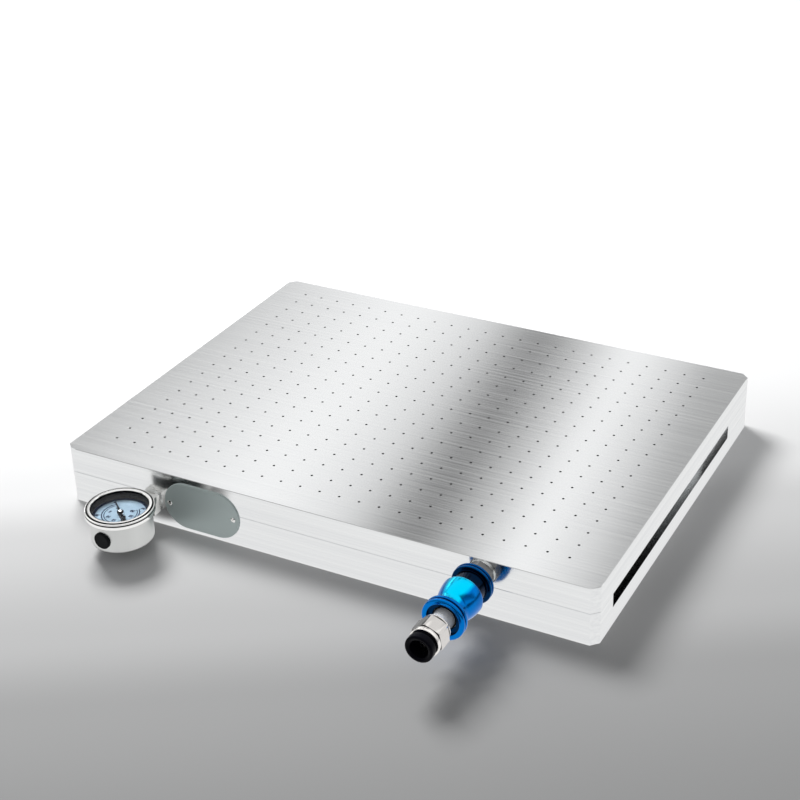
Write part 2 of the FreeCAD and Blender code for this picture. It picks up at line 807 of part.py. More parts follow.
def tube_end():
    return polar(gauge_x, gauge_y, tube_mean_radius, tube_tip_direction)


def sector_arbor():
    px, py = sector_pivot()
    low = frame_bottom + turning_gap
    high = frame_upper_top - turning_gap
    return upright_rod(px, py, low, high, sector_arbor_radius)


def pull_link():
    """Flat link under the sector's tail, with the pin that the tail turns on."""
    tx, ty = tail_end()
    ex, ey = tube_end()
    z1 = sector_bottom - ear_gap
    z0 = z1 - link_thickness
    bar = strap(tx, ty, ex, ey, link_width, z0, z1)
    pin = upright_rod(tx, ty, z1, sector_bottom + sector_thickness, link_pin_radius)
    return bar.fuse(pin).removeSplitter()


def tube_tip():
    """Block on the free end of the tube, with the ear that the link lies over."""
    ex, ey = tube_end()
    half = ear_size / 2
    top = sector_bottom - 2 * ear_gap - link_thickness
    tube_top = block_bottom + tube_section_height
    return box(ex - half, ex + half, ey - half, ey + half, tube_top, top)


def pressure_tube():
    """C-shaped tube of flat section, from the block nearly round to its own free end."""
    start = tube_start_direction
    sweep = full_turn + start - tube_tip_direction
    inner = tube_mean_radius - tube_section_width / 2
    z0, z1 = block_bottom, block_bottom + tube_section_height
    corners = [V(inner, 0, z0), V(inner + tube_section_width, 0, z0),
               V(inner + tube_section_width, 0, z1), V(inner, 0, z1)]
    face = Part.Face(Part.makePolygon(corners + corners[:1]))
    tube = face.revolve(V(0, 0, 0), UP, sweep)
    tube.rotate(V(0, 0, 0), UP, start - sweep)
    tube.translate(V(gauge_x, gauge_y, 0))
    return tube.cut(gauge_stem())


def frame_plate(z0, z1):
    """Movement plate with round ends, reaching from the pinion to past the sector's pivot."""
    px, py = sector_pivot()
    ax, ay = gauge_x, gauge_y
    plate = strap(ax, ay, px, py, 2 * frame_half_width, z0, z1)
    holes = [upright_rod(ax, ay, z0, z1, arbor_radius + turning_gap),
             upright_rod(px, py, z0, z1, sector_arbor_radius + turning_gap)]
    return plate, holes


def movement_lower_plate():
    """Lower plate, with a foot that lies on the stem block."""
    plate, holes = frame_plate(frame_bottom, frame_lower_top)
    half = block_width / 2
    foot = box(gauge_x - half, gauge_x + half, gauge_y, gauge_y + block_inner_end + half,
               frame_bottom, frame_lower_top)
    return plate.fuse(foot).removeSplitter().cut(holes)


def pillar_places():
    """Two pillars on opposite sides of the line from pinion to sector, clear of the sector's swing."""
    px, py = sector_pivot()
    reach = frame_half_width - pillar_radius
    side = sector_direction - full_turn / 4
    return [polar(gauge_x, gauge_y, reach, side), polar(px, py, -reach, side)]


def movement_upper_plate():
    """Upper plate, with two posts that carry the dial."""
    plate, holes = frame_plate(frame_upper_bottom, frame_upper_top)
    posts = [upright_rod(x, y, frame_upper_top, dial_bottom, dial_screw_head_radius)
             for x, y in dial_screw_places()]
    bores = [upright_rod(x, y, frame_upper_top, dial_bottom, dial_screw_radius + turning_gap)
             for x, y in dial_screw_places()]
    return plate.fuse(posts).removeSplitter().cut(holes + bores)


def movement_pillars():
    return Part.makeCompound([upright_rod(x, y, frame_lower_top, frame_upper_bottom, pillar_radius)
                              for x, y in pillar_places()])


def pointer_arbor():
    """Upright arbor with the pinion cut on it."""
    z0 = sector_bottom + (sector_thickness - pinion_height) / 2
    points = []
    step = full_turn / pinion_teeth
    for i in range(pinion_teeth):
        points += tooth_points(gauge_x, gauge_y, pinion_pitch_radius, sector_direction + step * (i + 0.5))
    pinion = prism(points, z0, z0 + pinion_height)
    top = pointer_bottom + pointer_thickness
    shaft = upright_rod(gauge_x, gauge_y, frame_bottom + turning_gap, top, arbor_radius)
    return shaft.fuse(pinion).removeSplitter()


def gauge_pointer():
    """Tapered pointer with a broad tail and a turned hub cap."""
    z0, z1 = pointer_bottom, pointer_bottom + pointer_thickness
    x, y, way = gauge_x, gauge_y, pointer_zero_direction

    def spot(along, aside):
        px, py = polar(x, y, along, way)
        return polar(px, py, aside, way + full_turn / 4)

    tip, root, tail = pointer_tip_width / 2, pointer_root_width / 2, pointer_tail_width / 2
    shoulder = -pointer_tail_length / 2
    blade = prism([spot(pointer_length, -tip), spot(pointer_length, tip), spot(0, root),
                   spot(shoulder, root), spot(shoulder - root, tail), spot(-pointer_tail_length, tail / 2),
                   spot(-pointer_tail_length, -tail / 2), spot(shoulder - root, -tail),
                   spot(shoulder, -root), spot(0, -root)], z0, z1)
    cap_top = z1 + pointer_cap_height
    cap = turned_up(x, y, [(z1, 0), (z1, pointer_hub_radius), (z1 + pointer_cap_height / 2, pointer_hub_radius),
                           (cap_top, pointer_hub_radius / 2), (cap_top, 0)])
    disc = upright_rod(x, y, z0, z1, pointer_hub_radius)
    bore = upright_rod(x, y, z0, z1, arbor_radius)
    return blade.fuse([disc, cap]).removeSplitter().cut(bore)


PIECES = {
    "base_plate": base_plate,
    "top_plate": top_plate,
    "seal_cord": seal_cord,
    "assembly_screws": assembly_screws,
    "oval_plate": oval_plate,
    "oval_plate_screws": oval_screws,
    "valve_washer": valve_washer,
    "valve_spindle": valve_spindle,
    "valve_seals": valve_seals,
    "valve_sleeve": valve_sleeve,
    "fitting_body": fitting_body,
    "fitting_seal": fitting_seal,
    "grip_ring": grip_ring,
    "collar_bush": collar_bush,
    "release_collar": release_collar,
    "gauge_washer": gauge_washer,
    "gauge_stem": gauge_stem,
    "gauge_case": gauge_case,
    "gauge_bezel": gauge_bezel,
    "gauge_window": gauge_window,
    "window_gasket": window_gasket,
    "gauge_dial": gauge_dial,
    "dial_screws": dial_screws,
    "fill_plug": fill_plug,
    "gauge_pointer": gauge_pointer,
    "pointer_arbor": pointer_arbor,
    "sector_gear": sector_gear,
    "sector_arbor": sector_arbor,
    "pull_link": pull_link,
    "pressure_tube": pressure_tube,
    "tube_tip": tube_tip,
    "movement_lower_plate": movement_lower_plate,
    "movement_upper_plate": movement_upper_plate,
    "movement_pillars": movement_pillars,
}

os.makedirs("parts", exist_ok=True)
for name, make in PIECES.items():
    make().exportStep("parts/" + name + ".step")
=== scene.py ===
"""Looks of a vacuum table: brushed plates, a blue slide valve with its tube fitting, and a small gauge."""

import math

import bmesh
import bpy
import numpy as np
from mathutils import Euler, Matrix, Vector

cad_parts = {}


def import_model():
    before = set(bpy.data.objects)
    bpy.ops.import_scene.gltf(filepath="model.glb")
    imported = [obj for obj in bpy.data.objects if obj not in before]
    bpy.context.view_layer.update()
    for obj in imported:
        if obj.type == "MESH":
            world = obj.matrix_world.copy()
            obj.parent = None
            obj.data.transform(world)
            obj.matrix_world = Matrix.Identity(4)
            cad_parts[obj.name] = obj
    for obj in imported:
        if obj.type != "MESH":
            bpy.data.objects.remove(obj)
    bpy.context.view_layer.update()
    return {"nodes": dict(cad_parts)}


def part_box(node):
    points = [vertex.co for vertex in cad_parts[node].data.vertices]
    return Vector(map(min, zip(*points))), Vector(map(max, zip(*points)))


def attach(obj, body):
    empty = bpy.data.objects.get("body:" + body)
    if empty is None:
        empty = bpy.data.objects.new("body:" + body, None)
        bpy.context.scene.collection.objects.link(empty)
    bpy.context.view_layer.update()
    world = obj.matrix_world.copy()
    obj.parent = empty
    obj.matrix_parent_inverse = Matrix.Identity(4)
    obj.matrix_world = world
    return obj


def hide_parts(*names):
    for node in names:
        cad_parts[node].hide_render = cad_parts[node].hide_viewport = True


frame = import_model()

MM = 0.001
ROUND = 96

# Places taken from the solids
plate_low, plate_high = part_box("top_plate")
spindle_low, spindle_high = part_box("valve_spindle")
case_low, case_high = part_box("gauge_case")
front = plate_low.y
valve_x = (spindle_low.x + spindle_high.x) / 2
valve_z = (spindle_low.z + spindle_high.z) / 2
gauge_x = (case_low.x + case_high.x) / 2
gauge_y = (case_low.y + case_high.y) / 2
dial_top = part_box("gauge_dial")[1].z

# Suction holes
hole_pitch = 15 * MM
hole_radius = 0.88 * MM
hole_columns = 24
hole_rows = 18
hole_shift_x = -1.9 * MM
hole_shift_y = 2.4 * MM
hole_sides = 16

# Clamp slots in the short sides
slot_depth = 10 * MM
slot_front, slot_back = -124.5 * MM, 102 * MM
slot_low, slot_high = 14 * MM, 24 * MM
slot_skin = 0.2 * MM
# Slot walls: painted shade, dark at the front and lighter to the back, and past 1 near the back a painted highlight
slot_painted_shade_stops = [(-0.125, 0.25), (-0.06, 0.35), (0.0, 0.65), (0.06, 0.95), (0.09, 1.25), (0.102, 1.25)]

# Plate edges
plate_corner = 5 * MM
top_edge = 0.3 * MM
joint_edge = 0.3 * MM


# Meshes

def closed_mesh(name, corners, faces):
    """Mesh of the given corners and faces with its doubles merged and its faces turned outwards."""
    mesh = bpy.data.meshes.new(name)
    mesh.from_pydata(corners.tolist(), [], faces.tolist())
    work = bmesh.new()
    work.from_mesh(mesh)
    bmesh.ops.remove_doubles(work, verts=work.verts, dist=1e-6)
    bmesh.ops.recalc_face_normals(work, faces=work.faces)
    work.to_mesh(mesh)
    work.free()
    return mesh


def piece(name, mesh, body, material, soft_angle=34):
    """Puts a mesh in the scene on one body, smooth except where faces meet at more than the soft angle."""
    mesh.shade_smooth()
    mesh.set_sharp_from_angle(angle=math.radians(soft_angle))
    obj = bpy.data.objects.new(name, mesh)
    bpy.context.scene.collection.objects.link(obj)
    mesh.materials.append(material)
    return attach(obj, body)


def grid_faces(rows, columns):
    """Corner numbers of the quads of a rows x columns grid that is closed both ways."""
    r, c = np.meshgrid(np.arange(rows), np.arange(columns), indexing="ij")
    down, right = (r + 1) % rows, (c + 1) % columns
    return np.stack([r * columns + c, r * columns + right, down * columns + right, down * columns + c], -1).reshape(-1, 4)


def rounded(corners, steps=4):
    """Profile with its corners rounded.

    corners holds (along, radius, fillet) rows of a closed outline. With a and b the unit directions to
    the neighbours and t the angle between them, the fillet's arc runs about the point fillet / sin(t/2)
    along the bisector, from fillet / tan(t/2) along a to the same distance along b.
    """
    table = np.array(corners, float)
    points, fillet = table[:, :2], table[:, 2:]
    to_last = np.roll(points, 1, 0) - points
    to_next = np.roll(points, -1, 0) - points
    a = to_last / np.linalg.norm(to_last, axis=1, keepdims=True)
    b = to_next / np.linalg.norm(to_next, axis=1, keepdims=True)
    angle = np.arccos(np.clip((a * b).sum(1, keepdims=True), -1, 1))
    reach = fillet / np.tan(angle / 2)
    first, last = points + a * reach, points + b * reach
    middle = points + (a + b) / np.maximum(np.linalg.norm(a + b, axis=1, keepdims=True), 1e-9) * fillet / np.sin(angle / 2)
    sweep = np.pi - angle
    share = np.linspace(0, 1, steps + 1)[None, :, None]
    turn, flat = sweep[:, None, :], np.maximum(np.sin(sweep), 1e-6)[:, None, :]
    arc = (np.sin((1 - share) * turn) * (first - middle)[:, None] + np.sin(share * turn) * (last - middle)[:, None]) / flat
    arc = np.where(fillet[:, None, :] > 0, arc + middle[:, None], points[:, None])
    return arc.reshape(-1, 2)


def bulge(start, through, end, steps=16):
    """Points of the circle arc from start through a middle point to end, as (along, radius, 0) rows.

    The circle's centre solves |p - start| = |p - through| = |p - end|; the arc is even in angle.
    """
    p = np.array([start, through, end], float)
    system = 2 * (p[1:] - p[0])
    centre = np.linalg.solve(system, (p[1:] ** 2).sum(1) - (p[0] ** 2).sum())
    angles = np.unwrap(np.arctan2(*(p - centre).T[::-1]))
    turn = np.linspace(angles[0], angles[2], steps + 1)
    radius = np.linalg.norm(p[0] - centre)
    x, y = centre[0] + radius * np.cos(turn), centre[1] + radius * np.sin(turn)
    return np.stack([x, y, np.zeros_like(x)], 1).tolist()


def turned(name, profile, centre, along, sides=ROUND, flats=None, turn=0.0):
    """Turned piece: profile points (a, r) in millimetres swept round an axis.

    The point at angle t is centre + a * along + r * (cos t * across + sin t * up), with t counted from turn.
    With flats, the radius is no more than the distance to a regular bar's side, which is
    width / 2 / cos(t folded to one side).
    """
    shape = np.array(profile, float)[:, :2] * MM
    t = np.linspace(0, 2 * np.pi, sides, endpoint=False)
    radius = np.repeat(shape[:, 1:2], sides, 1)
    if flats:
        width, count, first, last = flats
        fold = (t + np.pi / count) % (2 * np.pi / count) - np.pi / count
        inside = (shape[:, 0] > first * MM) & (shape[:, 0] < last * MM)
        limit = width * MM / 2 / np.cos(fold)
        radius = np.where(inside[:, None], np.minimum(radius, limit[None]), radius)
    t = t + math.radians(turn)
    along = np.array(along, float)
    across = np.array([1.0, 0, 0])
    up = np.cross(along, across)
    points = (np.array(centre)[None, None] + shape[:, 0][:, None, None] * along
              + radius[..., None] * (np.cos(t)[None, :, None] * across + np.sin(t)[None, :, None] * up))
    return closed_mesh(name, points.reshape(-1, 3), grid_faces(len(shape), sides))


def stacked(name, loops):
    """Solid between its first and last loop of points, each closed by quads to the loop's own middle line.

    A loop's middle line joins the midpoints of opposite points, so flat ends need no many-sided face.
    """
    loops = np.array(loops, float)
    count = loops.shape[1]
    mirror = np.arange(count)[::-1]
    first, last = (loops[0] + loops[0][mirror]) / 2, (loops[-1] + loops[-1][mirror]) / 2
    rows = np.concatenate([first[None], loops, last[None]])
    faces = grid_faces(len(rows), count)[:(len(rows) - 1) * count]
    return closed_mesh(name, rows.reshape(-1, 3), faces)


def outwards(name, corners, x, z, **more):
    """Turned piece on an axis square to the front face; a is counted outwards from that face."""
    return turned(name, rounded(corners), (x, front, z), (0, -1, 0), **more)


def upwards(name, corners, x, y, **more):
    """Turned piece on an upright axis; a is the height."""
    return turned(name, rounded(corners), (x, y, 0), (0, 0, 1), **more)


def drilled_plate():
    """Upper plate with its round suction holes.

    Each cell of the grid is a stack of four rings of points at even angles t: the cell's square at
    (p/2) / max(|cos t|, |sin t|), the hole's circle at its top and bottom, and the square again. Outside
    the field, matching stacks run from the field's edge over the bevelled outline and back.
    """
    top, bottom = plate_high.z, plate_low.z
    t = np.arange(hole_sides) * 2 * np.pi / hole_sides
    way = np.stack([np.cos(t), np.sin(t)], 1)
    square = way * (hole_pitch / 2 / np.abs(way).max(1, keepdims=True))
    circle = way * hole_radius
    rings = [(square, top), (circle, top), (circle, bottom), (square, bottom)]
    stack = np.stack([np.column_stack([ring, np.full(hole_sides, z)]) for ring, z in rings])
    columns = hole_shift_x + hole_pitch * (np.arange(hole_columns) - (hole_columns - 1) / 2)
    rows = hole_shift_y + hole_pitch * (np.arange(hole_rows) - (hole_rows - 1) / 2)
    places = np.stack(np.meshgrid(columns, rows, [0.0], indexing="ij"), -1).reshape(-1, 1, 1, 3)
    cells = (stack[None] + places).reshape(-1, 3)
    per_cell = len(rings) * hole_sides
    one = grid_faces(len(rings), hole_sides)[:(len(rings) - 1) * hole_sides]
    cell_faces = (one[None] + per_cell * np.arange(len(places))[:, None, None]).reshape(-1, 4)

    quarter = np.tan(np.pi / 8) * hole_pitch / 2
    notch = np.array([-hole_pitch / 2, -quarter, 0, quarter])
    xs = np.append((columns[:, None] + notch).ravel(), columns[-1] + hole_pitch / 2)
    ys = np.append((rows[:, None] + notch).ravel(), rows[-1] + hole_pitch / 2)

    def loop(low_x, high_x, low_y, high_y, corner):
        """Field-edge points carried to a rectangle with cut corners, each side stretched evenly."""
        def spread(values, low, high):
            return low + corner + (values - values[0]) / (values[-1] - values[0]) * (high - low - 2 * corner)
        x, y = spread(xs, low_x, high_x), spread(ys, low_y, high_y)
        return np.concatenate([
            np.column_stack([x, np.full_like(x, low_y)]), np.column_stack([np.full_like(y, high_x), y]),
            np.column_stack([x[::-1], np.full_like(x, high_y)]), np.column_stack([np.full_like(y, low_x), y[::-1]])])

    def outline(inset):
        """Plate outline drawn in by inset; the cut corners shorten as the sides move in."""
        cut = plate_corner - inset * (2 - math.sqrt(2))
        return loop(plate_low.x + inset, plate_high.x - inset, plate_low.y + inset, plate_high.y - inset, cut)

    field = loop(xs[0], xs[-1], ys[0], ys[-1], 0.0)
    loops = [(field, top), (outline(top_edge), top), (outline(0), top - top_edge),
             (outline(0), bottom + joint_edge), (outline(joint_edge), bottom), (field, bottom)]
    margin = np.concatenate([np.column_stack([ring, np.full(len(ring), z)]) for ring, z in loops])
    margin_faces = grid_faces(len(loops), len(field))[:(len(loops) - 1) * len(field)] + len(cells)
    return closed_mesh("upper_plate", np.concatenate([cells, margin]), np.concatenate([cell_faces, margin_faces]))


# Material effects

def effect(name, inputs, outputs):
    """Empty node group with the named inputs, as (name, kind, default), and outputs, as (name, kind)."""
    group = bpy.data.node_groups.new(name, "ShaderNodeTree")
    for title, kind, default in inputs:
        socket = group.interface.new_socket(title, in_out="INPUT", socket_type=kind)
        if default is not None:
            socket.default_value = default
    for title, kind in outputs:
        group.interface.new_socket(title, in_out="OUTPUT", socket_type=kind)
    return group, group.nodes.new("NodeGroupInput"), group.nodes.new("NodeGroupOutput")


def add(tree, kind, settings=None, **values):
    """New node with its settings and its socket values or links."""
    node = tree.nodes.new(kind)
    for key, value in (settings or {}).items():
        setattr(node, key, value)
    for key, value in values.items():
        socket = node.inputs[int(key[1:])] if key[0] == "i" and key[1:].isdigit() else node.inputs[key.replace("_", " ")]
        if isinstance(value, bpy.types.NodeSocket):
            tree.links.new(value, socket)
        else:
            socket.default_value = value
    return node


def brushed_effect():
    """Fine straight scratches: two noises stretched along one direction.

    Height is their sum, Shade the slower one, and both vary quickly across the brushing and slowly along it.
    """
    group, given, result = effect(
        "brushing", [("Place", "NodeSocketVector", None), ("Across", "NodeSocketVector", (1, 1, 1))],
        [("Height", "NodeSocketFloat"), ("Shade", "NodeSocketFloat")])
    spread = add(group, "ShaderNodeVectorMath", {"operation": "MULTIPLY"}, i0=given.outputs["Place"],
                 i1=given.outputs["Across"])
    fine = add(group, "ShaderNodeTexNoise", Vector=spread.outputs[0], Scale=1.0, Detail=3.0, Roughness=0.6)
    slow = add(group, "ShaderNodeVectorMath", {"operation": "SCALE"}, i0=spread.outputs[0], Scale=0.17)
    broad = add(group, "ShaderNodeTexNoise", Vector=slow.outputs[0], Scale=1.0, Detail=4.0, Roughness=0.55)
    total = add(group, "ShaderNodeMath", {"operation": "ADD"}, i0=fine.outputs["Fac"], i1=broad.outputs["Fac"])
    group.links.new(total.outputs[0], result.inputs["Height"])
    group.links.new(broad.outputs["Fac"], result.inputs["Shade"])
    return group


def grain_effect():
    """Even fine grain, such as a cast, moulded or bead-blasted surface has."""
    group, given, result = effect("grain", [("Place", "NodeSocketVector", None), ("Scale", "NodeSocketFloat", 900.0)],
                                  [("Height", "NodeSocketFloat"), ("Shade", "NodeSocketFloat")])
    fine = add(group, "ShaderNodeTexNoise", Vector=given.outputs["Place"], Scale=given.outputs["Scale"], Detail=2.0)
    slow = add(group, "ShaderNodeVectorMath", {"operation": "SCALE"}, i0=given.outputs["Place"], Scale=0.1)
    broad = add(group, "ShaderNodeTexNoise", Vector=slow.outputs[0], Scale=given.outputs["Scale"], Detail=2.0)
    group.links.new(fine.outputs["Fac"], result.inputs["Height"])
    group.links.new(broad.outputs["Fac"], result.inputs["Shade"])
    return group


BRUSHING = brushed_effect()
GRAIN = grain_effect()


def material(name):
    """New node material, its tree, its Principled shader and its Object coordinates."""
    made = bpy.data.materials.new(name)
    made.use_nodes = True
    tree = made.node_tree
    coords = tree.nodes.new("ShaderNodeTexCoord").outputs["Object"]
    return made, tree, tree.nodes["Principled BSDF"], coords


def ranged(tree, value, low, high):
    """Carries a noise value from its middle half to the range low to high."""
    node = add(tree, "ShaderNodeMapRange", From_Min=0.3, From_Max=0.7, To_Min=low, To_Max=high, Value=value)
    return node.outputs[0]


def stripes(tree, value, shades):
    """Grey that follows a list of (place, shade) stops along value."""
    first, last = shades[0][0], shades[-1][0]
    peak = max(shade for _, shade in shades)
    share = add(tree, "ShaderNodeMapRange", Value=value, From_Min=first, From_Max=last, To_Min=0.0, To_Max=1.0)
    ramp = add(tree, "ShaderNodeValToRGB", Fac=share.outputs[0])
    ramp.color_ramp.interpolation = "EASE"
    while len(ramp.color_ramp.elements) < len(shades):
        ramp.color_ramp.elements.new(0.5)
    for stop, (place, shade) in zip(ramp.color_ramp.elements, shades):
        stop.position = (place - first) / (last - first)
        stop.color = (shade / peak, shade / peak, shade / peak, 1)
    return add(tree, "ShaderNodeVectorMath", {"operation": "SCALE"}, i0=ramp.outputs[0], Scale=peak).outputs[0]


def surface(name, colour, rough, metallic=0.0, across=None, depth=0.00002, scale=900.0, **more):
    """Plain material with a brushed or a grainy surface: roughness follows the broad shade, a bump the height."""
    made, tree, shader, coords = material(name)
    group = tree.nodes.new("ShaderNodeGroup")
    group.node_tree = BRUSHING if across else GRAIN
    tree.links.new(coords, group.inputs["Place"])
    if across:
        group.inputs["Across"].default_value = across
    else:
        group.inputs["Scale"].default_value = scale
    tree.links.new(ranged(tree, group.outputs["Shade"], *rough), shader.inputs["Roughness"])
    bump = add(tree, "ShaderNodeBump", Distance=depth, Strength=1.0, Height=group.outputs["Height"])
    tree.links.new(bump.outputs[0], shader.inputs["Normal"])
    shader.inputs["Base Color"].default_value = (*colour, 1)
    shader.inputs["Metallic"].default_value = metallic
    for key, value in more.items():
        shader.inputs[key.replace("_", " ")].default_value = value
    return made


def between(tree, value, low, high):
    """1 where value lies from low to high, else 0."""
    return add(tree, "ShaderNodeMath", {"operation": "COMPARE"}, i0=value, i1=(low + high) / 2,
               i2=(high - low) / 2).outputs[0]


def steep(tree, value):
    """1 where a normal's part along one axis is the main one, else 0."""
    size = add(tree, "ShaderNodeMath", {"operation": "ABSOLUTE"}, i0=value)
    return add(tree, "ShaderNodeMath", {"operation": "GREATER_THAN"}, i0=size.outputs[0], i1=main_part)


def recoloured(tree, shade, colour):
    """Feeds the Principled shader's colour with a shade times a colour, each a value or a link."""
    product = add(tree, "ShaderNodeVectorMath", {"operation": "MULTIPLY"}, i0=shade, i1=colour)
    tree.links.new(product.outputs[0], tree.nodes["Principled BSDF"].inputs["Base Color"])


def slot_shade(tree, coords):
    """Shade 1 on the plates' outside, and on the side slots' milled walls a painted shade that grows lighter to the
    back and passes 1 near the back end as a painted highlight.
    """
    parts = add(tree, "ShaderNodeSeparateXYZ", Vector=coords).outputs
    side = add(tree, "ShaderNodeMath", {"operation": "ABSOLUTE"}, i0=parts[0])
    spans = [(side.outputs[0], plate_high.x - slot_depth - slot_skin, plate_high.x - slot_skin),
             (parts[1], slot_front - slot_skin, slot_back - slot_skin),
             (parts[2], slot_low - slot_skin, slot_high + slot_skin)]
    within = between(tree, *spans[0])
    for span in spans[1:]:
        inside = between(tree, *span)
        within = add(tree, "ShaderNodeMath", {"operation": "MULTIPLY"}, i0=within, i1=inside).outputs[0]
    wall = stripes(tree, parts[1], slot_painted_shade_stops)
    shade = add(tree, "ShaderNodeMix", {"data_type": "RGBA"}, Factor=within)
    shade.inputs[6].default_value = (1, 1, 1, 1)
    tree.links.new(wall, shade.inputs[7])
    return shade.outputs[2]


def plate_metal():
    """Brushed aluminium plates: scratches run along the long side, and along Y on the short sides."""
    made, tree, shader, coords = material("brushed_aluminium")
    normal = tree.nodes.new("ShaderNodeNewGeometry").outputs["True Normal"]
    parts = add(tree, "ShaderNodeSeparateXYZ", Vector=normal)
    on_end = steep(tree, parts.outputs[0])
    across = add(tree, "ShaderNodeMix", {"data_type": "VECTOR"}, Factor=on_end.outputs[0])
    across.inputs[4].default_value = (scratch_along, scratch_across, scratch_across)
    across.inputs[5].default_value = (scratch_across, scratch_along, scratch_across)
    group = tree.nodes.new("ShaderNodeGroup")
    group.node_tree = BRUSHING
    tree.links.new(coords, group.inputs["Place"])
    tree.links.new(across.outputs[1], group.inputs["Across"])
    tree.links.new(ranged(tree, group.outputs["Shade"], 0.12, 0.17), shader.inputs["Roughness"])
    bump = add(tree, "ShaderNodeBump", Distance=0.0000008, Strength=1.0, Height=group.outputs["Height"])
    tree.links.new(bump.outputs[0], shader.inputs["Normal"])
    tint = add(tree, "ShaderNodeMix", {"data_type": "RGBA"}, Factor=ranged(tree, group.outputs["Shade"], 0.0, 1.0))
    tint.inputs[6].default_value = (*plate_grey, 1)
    tint.inputs[7].default_value = (*plate_light, 1)
    # painted shade on the side slots' walls
    recoloured(tree, tint.outputs[2], slot_shade(tree, coords))
    flat = steep(tree, parts.outputs[2])
    grain_way = add(tree, "ShaderNodeMix", {"data_type": "VECTOR"}, Factor=flat.outputs[0])
    grain_way.inputs[4].default_value = (0, 0, 1)
    grain_way.inputs[5].default_value = (0, 1, 0)
    tree.links.new(grain_way.outputs[1], shader.inputs["Tangent"])
    shader.inputs["Metallic"].default_value = 1.0
    shader.inputs["Anisotropic"].default_value = 0.6
    return made


def around_axis(tree, coords, x, z):
    """Distance from an axis along Y through x and z, and distance outwards from the front face."""
    moved = add(tree, "ShaderNodeVectorMath", {"operation": "SUBTRACT"}, i0=coords, i1=(x, 0, z))
    flat = add(tree, "ShaderNodeVectorMath", {"operation": "MULTIPLY"}, i0=moved.outputs[0], i1=(1, 0, 1))
    radius = add(tree, "ShaderNodeVectorMath", {"operation": "LENGTH"}, i0=flat.outputs[0])
    parts = add(tree, "ShaderNodeSeparateXYZ", Vector=coords)
    out = add(tree, "ShaderNodeMath", {"operation": "SUBTRACT"}, i0=front, i1=parts.outputs[1])
    return radius.outputs["Value"], out.outputs[0]


def sleeve_colour():
    """Blue anodised metal with a painted highlight along the barrel's top, and painted shade: darker on the rear
    flange, nearly black in the grooves and in the front recess.
    """
    made = surface("blue_anodised", sleeve_blue, (0.14, 0.20), 1.0, scale=1500.0, depth=0.000004)
    tree = made.node_tree
    coords = tree.nodes.new("ShaderNodeTexCoord").outputs["Object"]
    radius, out = around_axis(tree, coords, valve_x, valve_z)
    along = stripes(tree, out, [(a * MM, shade) for a, shade in sleeve_painted_shade])
    inside = add(tree, "ShaderNodeMath", {"operation": "LESS_THAN"}, i0=radius, i1=recess_radius)
    ahead = add(tree, "ShaderNodeMath", {"operation": "GREATER_THAN"}, i0=out, i1=recess_start)
    both = add(tree, "ShaderNodeMath", {"operation": "MULTIPLY"}, i0=inside.outputs[0], i1=ahead.outputs[0])
    recess = add(tree, "ShaderNodeMix", {"data_type": "RGBA"}, Factor=both.outputs[0])
    tree.links.new(along, recess.inputs[6])
    recess.inputs[7].default_value = (recess_painted_shade, recess_painted_shade, recess_painted_shade, 1)
    normal = tree.nodes.new("ShaderNodeNewGeometry").outputs["Normal"]
    rise = add(tree, "ShaderNodeSeparateXYZ", Vector=normal).outputs[2]
    on_top = add(tree, "ShaderNodeMapRange", Value=rise, From_Min=barrel_highlight_rise[0], From_Max=barrel_highlight_rise[1])
    barrel = between(tree, out, *barrel_span)
    lit = add(tree, "ShaderNodeMath", {"operation": "MULTIPLY"}, i0=on_top.outputs[0], i1=barrel)
    blue = add(tree, "ShaderNodeMix", {"data_type": "RGBA"}, Factor=lit.outputs[0])
    blue.inputs[6].default_value = (*sleeve_blue, 1)
    blue.inputs[7].default_value = (*sleeve_painted_highlight, 1)
    recoloured(tree, recess.outputs[2], blue.outputs[2])
    return made


def banded(made, colour, bands, left=1.0):
    """Surface's colour times painted shade in stripes along the valve's axis, and times left, a painted shade, on faces
    turned to -X.

    The stripes' places are millimetres outwards from the front face.
    """
    tree = made.node_tree
    coords = tree.nodes.new("ShaderNodeTexCoord").outputs["Object"]
    out = around_axis(tree, coords, valve_x, valve_z)[1]
    along = stripes(tree, out, [(a * MM, shade) for a, shade in bands])
    normal = tree.nodes.new("ShaderNodeNewGeometry").outputs["True Normal"]
    sideways = add(tree, "ShaderNodeSeparateXYZ", Vector=normal).outputs[0]
    facing = add(tree, "ShaderNodeMapRange", Value=sideways, From_Min=painted_shade_facing[0], From_Max=painted_shade_facing[1],
                 To_Min=left, To_Max=1.0)
    shade = add(tree, "ShaderNodeVectorMath", {"operation": "MULTIPLY"}, i0=along, i1=colour)
    recoloured(tree, shade.outputs[0], facing.outputs[0])
    return made


def case_steel():
    """Satin steel whose side towards the plates is painted dark for reflections only: painted shade that other polished
    faces show.
    """
    made = surface("satin_case_steel", case_grey, (0.34, 0.44), 1.0, across=(1200, 1200, 40), depth=0.000008)
    tree = made.node_tree
    shader = tree.nodes["Principled BSDF"]
    coords = tree.nodes.new("ShaderNodeTexCoord").outputs["Object"]
    parts = add(tree, "ShaderNodeSeparateXYZ", Vector=coords)
    behind = add(tree, "ShaderNodeMapRange", Value=parts.outputs[1], From_Min=gauge_y + case_turn[0],
                 From_Max=gauge_y + case_turn[1])
    path = tree.nodes.new("ShaderNodeLightPath")
    both = add(tree, "ShaderNodeMath", {"operation": "MULTIPLY"}, i0=behind.outputs[0], i1=path.outputs["Is Glossy Ray"])
    tint = add(tree, "ShaderNodeMix", {"data_type": "RGBA"}, Factor=both.outputs[0])
    tint.inputs[6].default_value = (*case_grey, 1)
    tint.inputs[7].default_value = (*case_shadow, 1)
    tree.links.new(tint.outputs[2], shader.inputs["Base Color"])
    return made


